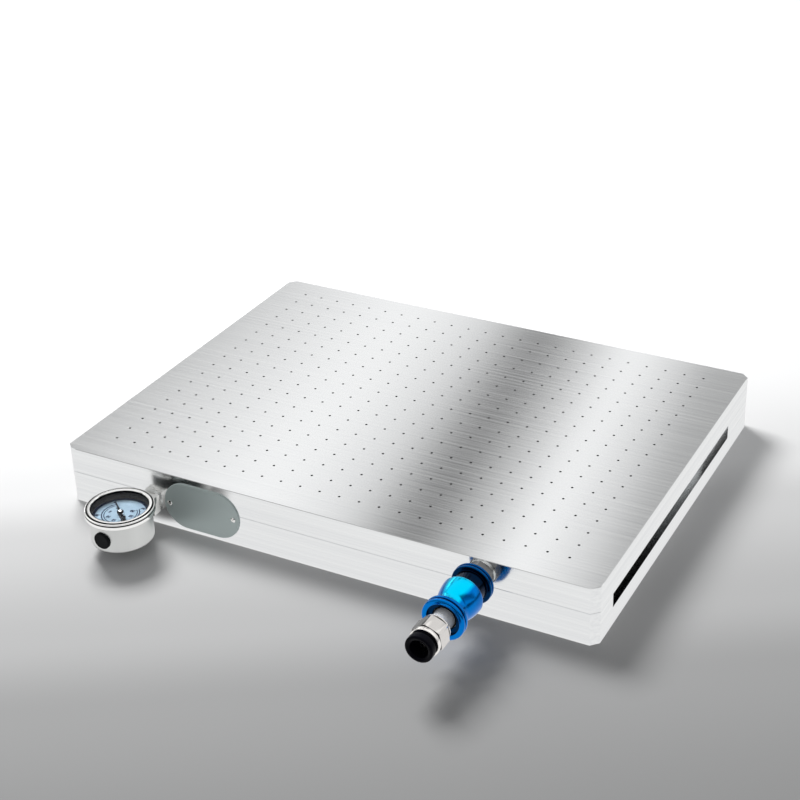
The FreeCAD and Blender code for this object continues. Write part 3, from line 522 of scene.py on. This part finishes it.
def bezel_steel():
    """Polished steel with painted shade: black in the groove beside the flat rim and in the crease round the side, and
    darker towards its lower edge.
    """
    made = surface("polished_bezel", bright_steel, (0.05, 0.11), 1.0, scale=500.0, depth=0.000003)
    tree = made.node_tree
    coords = tree.nodes.new("ShaderNodeTexCoord").outputs["Object"]
    flat = add(tree, "ShaderNodeVectorMath", {"operation": "MULTIPLY"}, i0=coords, i1=(1, 1, 0))
    radius = add(tree, "ShaderNodeVectorMath", {"operation": "DISTANCE"}, i0=flat.outputs[0], i1=(gauge_x, gauge_y, 0))
    height = add(tree, "ShaderNodeSeparateXYZ", Vector=coords).outputs[2]
    rings = stripes(tree, radius.outputs["Value"], [(a * MM, shade) for a, shade in bezel_painted_ring_shade])
    crease = stripes(tree, height, [(a * MM, shade) for a, shade in bezel_painted_crease_shade])
    both = add(tree, "ShaderNodeVectorMath", {"operation": "MULTIPLY"}, i0=rings, i1=crease)
    recoloured(tree, both.outputs[0], bright_steel)
    return made


def clear_glass():
    """Gauge window: clear glass that lets the lamps' light through to the dial."""
    made, tree, shader, coords = material("clear_glass")
    group = tree.nodes.new("ShaderNodeGroup")
    group.node_tree = GRAIN
    tree.links.new(coords, group.inputs["Place"])
    tree.links.new(ranged(tree, group.outputs["Shade"], 0.0, 0.02), shader.inputs["Roughness"])
    shader.inputs["Base Color"].default_value = (0.96, 0.98, 0.99, 1)
    shader.inputs["Transmission Weight"].default_value = 1.0
    shader.inputs["IOR"].default_value = 1.12
    shader.inputs["Specular IOR Level"].default_value = 0.04
    path = tree.nodes.new("ShaderNodeLightPath")
    clear = tree.nodes.new("ShaderNodeBsdfTransparent")
    mix = tree.nodes.new("ShaderNodeMixShader")
    tree.links.new(path.outputs["Is Shadow Ray"], mix.inputs[0])
    tree.links.new(shader.outputs[0], mix.inputs[1])
    tree.links.new(clear.outputs[0], mix.inputs[2])
    tree.links.new(mix.outputs[0], tree.nodes["Material Output"].inputs["Surface"])
    return made


# Plates: scratches per metre along and across the brushing, and how large a normal's main part is
scratch_along, scratch_across = 5, 2600
main_part = 0.6
plate_grey = (0.84, 0.85, 0.86)
plate_light = (0.93, 0.94, 0.94)

# Sleeve: painted shade along the axis, in millimetres from the front face, and in the front recess; a painted
# highlight on the barrel's top, which fades in between two values of the normal's upward part
sleeve_blue = (0.0, 0.18, 0.62)
sleeve_painted_highlight = (0.0, 0.62, 0.96)
sleeve_painted_shade = [(10.4, 0.5), (14.6, 0.45), (15.2, 0.05), (24.8, 0.05), (26.2, 1.0), (44.5, 1.0), (46.8, 0.30),
                  (47.8, 0.12), (48.3, 1.0), (50.2, 1.0), (50.6, 0.10), (51.5, 0.10), (51.9, 1.0), (54.2, 1.0)]
recess_radius = 11.05 * MM
recess_start = 50 * MM
recess_painted_shade = 0.10
barrel_span = (25.5 * MM, 44.5 * MM)
barrel_highlight_rise = (0.74, 0.86)

# Fitting and spindle: painted shade along the same axis; faces turned to -X get painted shade between two values of the
# normal
fitting_grey = (0.95, 0.92, 0.89)
fitting_painted_shade = [(61.0, 1.0), (62.7, 1.0), (62.9, 0.02), (63.8, 0.02), (64.0, 0.80), (74.2, 0.80), (74.4, 0.02),
                 (75.2, 0.02), (75.4, 1.0), (78.5, 1.0)]
tube_grey = (0.96, 0.97, 0.98)
spindle_painted_shade = [(0.0, 0.15), (10.2, 0.22), (10.5, 1.0), (60.0, 1.0)]
painted_shade_facing = (-0.58, -0.48)

# Gauge: painted shade darkens the case's reflection over a stretch of Y about its middle; the bezel's painted
# shade goes by radius and by height, in millimetres
case_grey = (0.72, 0.73, 0.72)
case_shadow = (0.03, 0.035, 0.035)
case_turn = (-5 * MM, 8 * MM)
bright_steel = (0.97, 0.97, 0.96)
bezel_painted_ring_shade = [(18.0, 1.0), (21.15, 1.0), (21.35, 0.02), (22.4, 0.02), (22.6, 1.0), (23.5, 1.0)]
bezel_painted_crease_shade = [(29.0, 0.5), (29.8, 0.8), (30.2, 1.0), (32.1, 1.0), (32.3, 0.02), (33.1, 0.02), (33.3, 1.0),
                (34.6, 1.0)]

ALUMINIUM = plate_metal()
GLASS = clear_glass()
BLUE = sleeve_colour()
NICKEL = surface("bright_nickel", (0.86, 0.86, 0.84), (0.12, 0.20), 1.0, scale=600.0, depth=0.000004)
# Fitting and spindle carry painted shade in bands along the axis; the fitting's faces turned to -X get a painted shade
# too
FITTING_METAL = banded(surface("fitting_nickel", fitting_grey, (0.12, 0.20), 1.0, scale=600.0, depth=0.000004),
                       fitting_grey, fitting_painted_shade, left=0.10)
TUBE_METAL = banded(surface("satin_nickel", tube_grey, (0.24, 0.32), 0.15, scale=900.0, depth=0.000006),
                    tube_grey, spindle_painted_shade)
SATIN = surface("satin_steel", case_grey, (0.34, 0.44), 1.0, across=(1200, 1200, 40), depth=0.000008)
CASE_STEEL = case_steel()
POLISHED = surface("polished_steel", bright_steel, (0.05, 0.11), 1.0, scale=500.0, depth=0.000003)
BEZEL_STEEL = bezel_steel()
# Dark steel: the assembly screws' own colour, and painted shade on the collar's bush
DARK_STEEL_AND_SHADE = surface("dark_steel_and_painted_shade", (0.16, 0.16, 0.17), (0.30, 0.42), 1.0)
OVAL_METAL = surface("satin_oval_sheet", (0.52, 0.60, 0.59), (0.36, 0.46), 0.25, across=(60, 1500, 1500), depth=0.000006)
# Dark grey for the ring of painted shade inside the gauge case
PAINTED_SHADE_GREY = surface("painted_shade_ring_paint", (0.045, 0.043, 0.045), (0.55, 0.65), scale=1200.0, depth=0.000004,
                    Specular_IOR_Level=0.1)
BLACK_PLASTIC = surface("black_plastic", (0.002, 0.002, 0.005), (0.30, 0.40), scale=700.0, depth=0.00001,
                        Specular_IOR_Level=0.05)
BLACK_RUBBER = surface("black_rubber", (0.004, 0.005, 0.006), (0.50, 0.65), scale=900.0, depth=0.00003,
                       Specular_IOR_Level=0.12)
BRASS = surface("plain_brass", (0.72, 0.55, 0.24), (0.22, 0.34), 1.0)
DIAL_WHITE = surface("dial_paint", (0.23, 0.31, 0.38), (0.55, 0.65), scale=1200.0, depth=0.000004,
                     Specular_IOR_Level=0.1)
INK = surface("dial_ink", (0.002, 0.010, 0.035), (0.55, 0.65), scale=1200.0, depth=0.000002, Specular_IOR_Level=0.05)
BLACK_PAINT = surface("pointer_paint", (0.003, 0.004, 0.006), (0.55, 0.65), scale=1200.0, depth=0.000004,
                      Specular_IOR_Level=0.05)

CAD_FINISH = {
    "base_plate": ALUMINIUM, "top_plate": ALUMINIUM, "seal_cord": BLACK_RUBBER, "assembly_screws": DARK_STEEL_AND_SHADE,
    "oval_plate": OVAL_METAL, "oval_plate_screws": NICKEL, "valve_washer": SATIN, "valve_spindle": TUBE_METAL,
    "valve_seals": BLACK_RUBBER, "valve_sleeve": BLUE, "fitting_body": FITTING_METAL, "fitting_seal": BLACK_RUBBER,
    # the collar's bush takes the dark steel as painted shade, where it sits in shadow in the gap
    "grip_ring": SATIN, "collar_bush": DARK_STEEL_AND_SHADE, "release_collar": BLACK_PLASTIC, "gauge_washer": SATIN,
    "gauge_stem": NICKEL, "gauge_case": CASE_STEEL, "gauge_bezel": POLISHED, "gauge_window": GLASS,
    "window_gasket": BLACK_RUBBER, "gauge_dial": DIAL_WHITE, "dial_screws": NICKEL, "fill_plug": BLACK_RUBBER,
    "gauge_pointer": BLACK_PAINT, "pointer_arbor": NICKEL, "sector_gear": BRASS, "sector_arbor": NICKEL,
    "pull_link": BRASS, "pressure_tube": BRASS, "tube_tip": BRASS, "movement_lower_plate": BRASS,
    "movement_upper_plate": BRASS, "movement_pillars": BRASS,
}
for node, finish in CAD_FINISH.items():
    mesh = frame["nodes"][node].data
    mesh.materials.clear()
    mesh.materials.append(finish)


# Plates

upper_plate = piece("upper_plate", drilled_plate(), "table", ALUMINIUM)
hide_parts("top_plate")


# Valve and tube fitting; distances in millimetres outwards from the front face

spanner_width = 19.0
spanner_sides = 6
spanner_turn = 8.0


def sleeve():
    """Blue sleeve: two grooved flanges, a round barrel between them and a recess in the front one."""
    rear = [(10.5, 8.05, 0.2), (10.5, 13.8, 0.9), (12.2, 13.8, 0.5), (12.4, 12.9, 0.1), (13.2, 12.9, 0.1),
            (13.4, 13.8, 0.5), (15.1, 13.8, 0.9), (15.1, 11.0, 0.3), (24.6, 11.0, 0.4), (25.6, 13.3, 0.9)]
    barrel = bulge((27.0, 13.9), (33.0, 13.3), (41.0, 11.0)) + bulge((41.3, 10.95), (44.5, 10.7), (47.6, 10.98))
    ahead = [(48.0, 11.2, 0.2), (48.0, 14.4, 0.9), (50.2, 14.4, 0.5), (50.5, 13.4, 0.1), (51.5, 13.4, 0.1),
             (51.8, 14.4, 0.5), (54.0, 14.4, 1.1), (54.0, 11.0, 0.5), (51.5, 11.0, 0.3), (51.5, 8.05, 0.2)]
    return outwards("blue_sleeve", rear + barrel + ahead, valve_x, valve_z)


def fitting():
    """Nickel fitting: spanner bar with turned-off corners between two rims, hollow for the tube."""
    corners = [(61.5, 6.95, 0.1), (61.5, 9.5, 0.4), (63.2, 9.5, 0.3), (63.4, 9.2, 0.0), (63.41, 9.9, 0.0),
               (64.3, 11.2, 0.0), (73.9, 11.2, 0.0), (74.8, 9.9, 0.0), (74.81, 9.3, 0.0), (75.0, 9.3, 0.1),
               (75.2, 10.0, 0.3), (78.0, 10.0, 0.5), (78.0, 8.0, 0.2), (69.4, 8.0, 0.1), (69.4, 5.0, 0.1),
               (67.0, 5.0, 0.1), (67.0, 6.95, 0.1)]
    flats = (spanner_width, spanner_sides, 63.405, 74.805)
    return outwards("fitting_shell", corners, valve_x, valve_z, flats=flats, turn=spanner_turn)


def collar():
    """Black release collar with a round rim and a dished mouth."""
    corners = [(74.25, 6.1, 0.1), (74.25, 7.4, 0.2), (79.6, 7.4, 0.2), (80.0, 9.3, 0.5), (85.0, 9.3, 1.1),
               (85.0, 7.6, 0.3), (84.3, 6.1, 0.3)]
    return outwards("collar_shell", corners, valve_x, valve_z)


blue_sleeve = piece("blue_sleeve", sleeve(), "sleeve", BLUE)
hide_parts("valve_sleeve")
fitting_shell = piece("fitting_shell", fitting(), "table", FITTING_METAL, soft_angle=22)
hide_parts("fitting_body")
collar_shell = piece("collar_shell", collar(), "collar", BLACK_PLASTIC)
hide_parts("release_collar")


def wiper():
    """Black ring on the end of the spindle's land, round the tube: painted shade that keeps the front recess dark
    there.
    """
    corners = [(50.32, 6.95, 0.05), (50.32, 7.9, 0.1), (51.0, 7.9, 0.2), (51.0, 6.95, 0.1)]
    return outwards("shaded_land_piece", corners, valve_x, valve_z)


shaded_land_piece = piece("shaded_land_piece", wiper(), "table", BLACK_RUBBER)


# Gauge; heights in millimetres above the table's underside

def bezel():
    """Polished crimped ring: bright flat rim over the window, a rounded shoulder and a straight side."""
    corners = [(29.4, 21.15, 0.1), (29.4, 22.8, 0.3), (29.9, 23.3, 0.4), (32.3, 23.3, 0.3), (32.6, 22.8, 0.1),
               (33.0, 22.8, 0.1), (33.2, 23.3, 0.2), (34.0, 23.2, 0.4), (34.2, 22.5, 0.15), (33.6, 22.25, 0.1),
               (33.6, 21.6, 0.1), (34.5, 21.45, 0.25), (34.5, 19.6, 0.2), (33.9, 19.2, 0.1), (33.45, 19.15, 0.05),
               (33.45, 21.15, 0.05)]
    return upwards("bezel_ring", corners, gauge_x, gauge_y)


def window_seal():
    """Black sealing lip between the window and the bezel, with the ring under the window."""
    lip = [(33.42, 18.8, 0.05), (33.42, 19.1, 0.0), (33.8, 19.1, 0.0), (34.1, 19.2, 0.05), (34.1, 18.9, 0.1)]
    return upwards("window_seal", lip, gauge_x, gauge_y)


def dial_surround():
    """Dark ring of painted shade that lines the case between the dial and the window's gasket, where the inner wall
    lies in shadow.
    """
    corners = [(27.6, 19.3, 0.0), (27.6, 20.1, 0.0), (31.2, 20.1, 0.0), (31.2, 19.9, 0.1), (28.0, 19.7, 0.3)]
    return upwards("dial_surround", corners, gauge_x, gauge_y)


def dial_place(radius, degrees):
    """Point on the dial, in metres, at radius millimetres and an angle counted from +X towards +Y."""
    turn = np.radians(degrees)
    return np.stack([gauge_x + radius * MM * np.cos(turn), gauge_y + radius * MM * np.sin(turn)], -1)


def scale_way(share):
    """Angle of a share 0 to 1 of the scale: it starts at the pointer's rest and runs 270 degrees."""
    return scale_start + 270 * np.asarray(share, float)


def band(low, high, first, last, steps):
    """Corners and quads of a flat ring part on the dial, from radius low to high over the angles given."""
    turn = np.linspace(first, last, steps + 1)
    corners = np.concatenate([dial_place(low, turn), dial_place(high, turn)])
    k = np.arange(steps)
    return corners, np.stack([k, k + steps + 1, k + steps + 2, k + 1], -1)


def numeral(text, size):
    """Flat corners and faces of a plain number in its own plane, centred on its middle."""
    data = bpy.data.curves.new("number", "FONT")
    data.body = text
    data.size = size * MM
    data.align_x, data.align_y = "CENTER", "CENTER"
    data.resolution_u = 2
    data.offset = number_weight * MM
    obj = bpy.data.objects.new("number", data)
    bpy.context.scene.collection.objects.link(obj)
    mesh = bpy.data.meshes.new_from_object(obj.evaluated_get(bpy.context.evaluated_depsgraph_get()))
    corners = np.array([v.co[:2] for v in mesh.vertices])
    faces = [tuple(p.vertices) for p in mesh.polygons]
    bpy.data.objects.remove(obj)
    bpy.data.curves.remove(data)
    bpy.data.meshes.remove(mesh)
    return corners, faces


def dial_print():
    """Marks on the dial: a dark ring at its rim, two printed scale arcs with their ticks, and printed numbers.

    A number's own right and up are carried to -X and -Y, because the dial is read with its stem down.
    """
    corners, faces, total = [], [], 0

    def put(points, quads):
        nonlocal total
        corners.append(points)
        faces.extend([tuple(int(i) + total for i in quad) for quad in quads])
        total += len(points)

    put(*band(*dial_border, 0, 360, ROUND))
    for low, high in scale_arcs:
        put(*band(low, high, *scale_way([0, 1]), 72))
    for values, full, low, high, wide in scale_ticks:
        for value in values:
            way = scale_way(value / full)
            put(*band(low, high, way - wide, way + wide, 1))
    for values, full, radius, size in scale_numbers:
        for value in values:
            points, quads = numeral(str(value), size)
            put(dial_place(radius, scale_way(value / full)) - points, quads)
    flat = np.concatenate(corners)
    mesh = bpy.data.meshes.new("dial_print")
    mesh.from_pydata(np.column_stack([flat, np.full(len(flat), dial_top + 0.03 * MM)]).tolist(), [], faces)
    return mesh


def pointer_cap():
    """Bright domed end of the pointer's arbor in the middle of the hub."""
    corners = [(29.9, 0.0, 0.0), (29.9, 1.25, 0.1), (30.25, 1.1, 0.15), (30.45, 0.0, 0.0)]
    return upwards("pointer_cap", corners, gauge_x, gauge_y, sides=32)


# Dial in millimetres and degrees; scales are (values, full scale, ...), ticks end with half their width
scale_start = 140.0
outer_numbers = (0, 20, 40, 60, 76)
inner_numbers = (0, 5, 10, 15, 20, 25, 30)
dial_border = (16.9, 19.15)
scale_arcs = [(12.1, 12.9), (10.7, 11.3)]
scale_ticks = [(outer_numbers, 76, 12.75, 14.4, 1.2), (range(0, 77, 4), 76, 12.75, 13.6, 0.7),
               (inner_numbers, 30, 9.8, 10.9, 1.0)]
scale_numbers = [(outer_numbers, 76, 15.6, 2.8), (inner_numbers, 30, 8.0, 3.0)]
number_weight = 0.24
bezel_ring = piece("bezel_ring", bezel(), "table", BEZEL_STEEL)
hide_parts("gauge_bezel")
seal_lip = piece("window_seal", window_seal(), "table", BLACK_RUBBER)
shade_ring_piece = piece("dial_surround", dial_surround(), "table", PAINTED_SHADE_GREY)
printing = piece("dial_print", dial_print(), "table", INK)
hub_cap = piece("pointer_cap", pointer_cap(), "pointer", POLISHED)


# Oval plate and its screws; distances in millimetres outwards from the front face

oval_low, oval_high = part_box("oval_plate")
oval_x = (oval_low.x + oval_high.x) / 2
oval_z = (oval_low.z + oval_high.z) / 2
oval_screw_reach = 25.5 * MM


def oval_sheet():
    """Sheet with round ends and a rounded front edge.

    A loop holds two half circles of radius half the height less its inset; the points of a half circle
    are at even angles, and the last point of one joins the first point of the other.
    """
    half = (oval_high.z - oval_low.z) / 2
    reach = (oval_high.x - oval_low.x) / 2 - half
    t = np.linspace(-np.pi / 2, np.pi / 2, 33)
    loops = []
    for inset, out in ((0.0, 0.0), (0.0, 0.65), (0.10, 0.88), (0.30, 0.99), (0.45, 1.0)):
        r = half - inset * MM
        x = np.concatenate([reach + r * np.cos(t), -reach - r * np.cos(t)])
        z = np.concatenate([r * np.sin(t), -r * np.sin(t)])
        loops.append(np.stack([oval_x + x, np.full_like(x, front - out * MM), oval_z + z], -1))
    return stacked("oval_sheet", np.roll(loops, -16, axis=1))


def slotted_screw(name, side):
    """Small round-headed screw: a turned shank, seat and dome, with a shallow round hollow in its top."""
    corners = [(-3.5, 0.0, 0.0), (-3.5, 1.15, 0.2), (1.0, 1.2, 0.0), (1.0, 1.9, 0.15), (1.3, 1.85, 0.15), (1.72, 1.1, 0.4),
               (1.72, 0.45, 0.05), (1.35, 0.35, 0.05), (1.35, 0.0, 0.0)]
    return outwards(name, corners, oval_x + side * oval_screw_reach, oval_z, sides=32)


oval_piece = piece("oval_sheet", oval_sheet(), "table", OVAL_METAL)
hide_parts("oval_plate")
for name, side in (("oval_screw_left", -1), ("oval_screw_right", 1)):
    piece(name, slotted_screw(name, side), "table", NICKEL)
    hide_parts("oval_plate_screws")


# Stage: floor, lamps, world and camera

floor_reach = 6.0
floor_slant = -0.6
# Floor: painted shade greyer towards the camera; painted light where mirrors see the floor glow near the table, with a
# painted shadow in that glow round the gauge
floor_painted_shade = [(-0.45, 0.34), (-0.30, 0.40), (-0.22, 0.52), (-0.09, 0.64), (-0.02, 0.80), (0.14, 0.93), (0.6, 1.0)]
floor_painted_glow = [(0.0, 0.87), (0.14, 0.87), (0.24, 0.32), (0.5, 0.30)]
gauge_painted_shadow = [(0.012, 0.06), (0.024, 0.16), (0.034, 1.0)]
card_height = 1.2
card_y = (0.9, 2.7)
card_x = (-2.4, 0.6)
card_lean = 0.125
card_shades = [(-0.46, 3.0), (-0.37, 3.0), (-0.335, 0.30), (-0.23, 0.44), (-0.17, 0.78), (-0.06, 1.04),
               (0.0, 0.86), (0.052, 0.08), (0.09, 0.60), (0.125, 1.10), (0.16, 0.80), (0.19, 0.42),
               (0.28, 0.36), (0.32, 0.8), (0.5, 0.8)]
sky_shades = [(0, 0.6), (10, 0.6), (20, 1.0), (34, 0.6), (44, 0.6), (50, 0.9), (62, 1.0), (75, 1.0), (100, 0.25),
              (115, 0.45), (130, 0.90), (148, 0.90), (158, 0.15), (180, 0.06)]
room_grey = (0.40, 0.405, 0.41)
overhead = 1.1
overhead_slant = 0.3
overhead_rise = (0.75, 0.82)
overhead_turn = (98.0, 90.0)
key_place, key_size, key_watts = (-1.0, 0.6, 1.55), (0.8, 0.8), 36


def floor_material():
    """Pale floor, white far off, with painted shade that makes it greyer near the camera; for mirrors it glows as
    painted light, bright near the table, with a painted shadow round the gauge.
    """
    made, tree, shader, coords = material("pale_floor")
    parts = add(tree, "ShaderNodeSeparateXYZ", Vector=coords)
    away = add(tree, "ShaderNodeMath", {"operation": "MULTIPLY_ADD"}, i0=parts.outputs[0], i1=floor_slant,
               i2=parts.outputs[1])
    shade = stripes(tree, away.outputs[0], floor_painted_shade)
    tree.links.new(shade, shader.inputs["Base Color"])
    shader.inputs["Roughness"].default_value = 0.9
    shader.inputs["Specular IOR Level"].default_value = 0.0
    gaps = []
    for axis, half in ((0, plate_high.x), (1, plate_high.y)):
        size = add(tree, "ShaderNodeMath", {"operation": "ABSOLUTE"}, i0=parts.outputs[axis])
        gaps.append(add(tree, "ShaderNodeMath", {"operation": "SUBTRACT"}, i0=size.outputs[0], i1=half))
    gap = add(tree, "ShaderNodeMath", {"operation": "MAXIMUM"}, i0=gaps[0].outputs[0], i1=gaps[1].outputs[0])
    reach = add(tree, "ShaderNodeVectorMath", {"operation": "DISTANCE"}, i0=coords, i1=(gauge_x, gauge_y, 0))
    glow = add(tree, "ShaderNodeVectorMath", {"operation": "MULTIPLY"}, i0=stripes(tree, gap.outputs[0], floor_painted_glow),
               i1=stripes(tree, reach.outputs["Value"], gauge_painted_shadow))
    path = tree.nodes.new("ShaderNodeLightPath")
    light = add(tree, "ShaderNodeEmission", Color=glow.outputs[0], Strength=1.0)
    mix = tree.nodes.new("ShaderNodeMixShader")
    tree.links.new(path.outputs["Is Glossy Ray"], mix.inputs[0])
    tree.links.new(shader.outputs[0], mix.inputs[1])
    tree.links.new(light.outputs[0], mix.inputs[2])
    tree.links.new(mix.outputs[0], tree.nodes["Material Output"].inputs["Surface"])
    return made


def floor():
    """One flat square under the object."""
    r = floor_reach
    mesh = bpy.data.meshes.new("floor")
    mesh.from_pydata([(-r, -r, 0), (r, -r, 0), (r, r, 0), (-r, r, 0)], [], [(0, 1, 2, 3)])
    obj = bpy.data.objects.new("floor", mesh)
    mesh.materials.append(floor_material())
    bpy.context.scene.collection.objects.link(obj)


def striped_card():
    """Studio ceiling card behind the table: bright and dark stripes along Y, seen in the plates and by no camera.

    The upper face mirrors it: place x there shows the card at x + (x - camera x) * card height / camera height.
    """
    made, tree, shader, coords = material("striped_card")
    rise = card_height - plate_high.z
    ratio = rise / (camera_place[2] - plate_high.z)
    parts = add(tree, "ShaderNodeSeparateXYZ", Vector=coords)
    place = add(tree, "ShaderNodeMath", {"operation": "ADD"}, i0=parts.outputs[0], i1=camera_place[0] * ratio)
    place = add(tree, "ShaderNodeMath", {"operation": "DIVIDE"}, i0=place.outputs[0], i1=1 + ratio)
    lean = card_lean / (1 + ratio)
    lean = add(tree, "ShaderNodeMath", {"operation": "MULTIPLY_ADD"}, i0=parts.outputs[1], i1=lean,
               i2=lean * camera_place[1] * ratio)
    place = add(tree, "ShaderNodeMath", {"operation": "ADD"}, i0=place.outputs[0], i1=lean.outputs[0])
    glow = add(tree, "ShaderNodeEmission", Color=stripes(tree, place.outputs[0], card_shades), Strength=1.0)
    tree.links.new(glow.outputs[0], tree.nodes["Material Output"].inputs["Surface"])
    mesh = bpy.data.meshes.new("striped_card")
    corners = [(card_x[0], card_y[0]), (card_x[1], card_y[0]), (card_x[1], card_y[1]), (card_x[0], card_y[1])]
    mesh.from_pydata([(x, y, card_height) for x, y in corners], [], [(0, 1, 2, 3)])
    mesh.materials.append(made)
    obj = bpy.data.objects.new("striped_card", mesh)
    obj.visible_camera = False
    obj.visible_diffuse = False
    obj.visible_shadow = False
    bpy.context.scene.collection.objects.link(obj)


def lamp(name, place, aim, size, watts, colour=(1, 1, 1)):
    """Soft rectangular lamp at place, turned towards aim; polished surfaces don't show it."""
    data = bpy.data.lights.new(name, "AREA")
    data.shape = "RECTANGLE"
    data.size, data.size_y = size
    data.energy = watts
    data.color = colour
    obj = bpy.data.objects.new(name, data)
    obj.visible_glossy = False
    obj.location = place
    obj.rotation_euler = (Vector(aim) - Vector(place)).to_track_quat("-Z", "Y").to_euler()
    bpy.context.scene.collection.objects.link(obj)


def world():
    """Even grey-white surroundings, and for polished surfaces a studio in bands round the camera's cross axis.

    The band is the angle from the far horizon over the zenith to the horizon behind the camera: a bright
    back wall, a bright light overhead, a soft light over the camera and a dark room behind it.
    """
    made = bpy.data.worlds.new("studio")
    bpy.context.scene.world = made
    made.use_nodes = True
    tree = made.node_tree
    way = tree.nodes.new("ShaderNodeTexCoord").outputs["Generated"]
    level = math.hypot(camera_place[0], camera_place[1])
    back = (-camera_place[0] / level, -camera_place[1] / level, 0)
    ahead = add(tree, "ShaderNodeVectorMath", {"operation": "DOT_PRODUCT"}, i0=way, i1=back)
    parts = add(tree, "ShaderNodeSeparateXYZ", Vector=way)
    angle = add(tree, "ShaderNodeMath", {"operation": "ARCTAN2"}, i0=parts.outputs[2], i1=ahead.outputs["Value"])
    degrees = add(tree, "ShaderNodeMath", {"operation": "MULTIPLY"}, i0=angle.outputs[0], i1=180 / math.pi)
    path = tree.nodes.new("ShaderNodeLightPath")
    seen = add(tree, "ShaderNodeMix", {"data_type": "RGBA"}, Factor=path.outputs["Is Glossy Ray"])
    seen.inputs[6].default_value = (*room_grey, 1)
    sideways = add(tree, "ShaderNodeMath", {"operation": "ABSOLUTE"}, i0=parts.outputs[0])
    rise = add(tree, "ShaderNodeMath", {"operation": "MULTIPLY_ADD"}, i0=sideways.outputs[0], i1=overhead_slant,
               i2=parts.outputs[2])
    above = add(tree, "ShaderNodeMapRange", Value=rise.outputs[0], From_Min=overhead_rise[0], From_Max=overhead_rise[1])
    before = add(tree, "ShaderNodeMapRange", Value=degrees.outputs[0], From_Min=overhead_turn[0],
                 From_Max=overhead_turn[1])
    light = add(tree, "ShaderNodeMath", {"operation": "MULTIPLY"}, i0=above.outputs[0], i1=before.outputs[0])
    lit = add(tree, "ShaderNodeMix", {"data_type": "RGBA"}, Factor=light.outputs[0])
    tree.links.new(stripes(tree, degrees.outputs[0], sky_shades), lit.inputs[6])
    lit.inputs[7].default_value = (overhead, overhead, overhead, 1)
    tree.links.new(lit.outputs[2], seen.inputs[7])
    white = add(tree, "ShaderNodeMix", {"data_type": "RGBA"}, Factor=path.outputs["Is Camera Ray"])
    tree.links.new(seen.outputs[2], white.inputs[6])
    white.inputs[7].default_value = (1, 1, 1, 1)
    tree.links.new(white.outputs[2], tree.nodes["Background"].inputs["Color"])


camera_place = (0.4936, -0.9101, 0.6327)
camera_turn = (63.219, 0.520, 25.774)
camera_lens = 74.1
camera_shift = (-0.0997, -0.0935)


def camera():
    """Camera where the photograph was taken from."""
    data = bpy.data.cameras.new("camera")
    data.lens = camera_lens
    data.sensor_width = 36
    data.shift_x, data.shift_y = camera_shift
    obj = bpy.data.objects.new("camera", data)
    obj.location = camera_place
    obj.rotation_euler = Euler([math.radians(a) for a in camera_turn])
    bpy.context.scene.collection.objects.link(obj)
    bpy.context.scene.camera = obj


floor()
striped_card()
world()
camera()
lamp("key", key_place, (0, 0, 0), key_size, key_watts)
bpy.context.scene.view_settings.view_transform = "Standard"
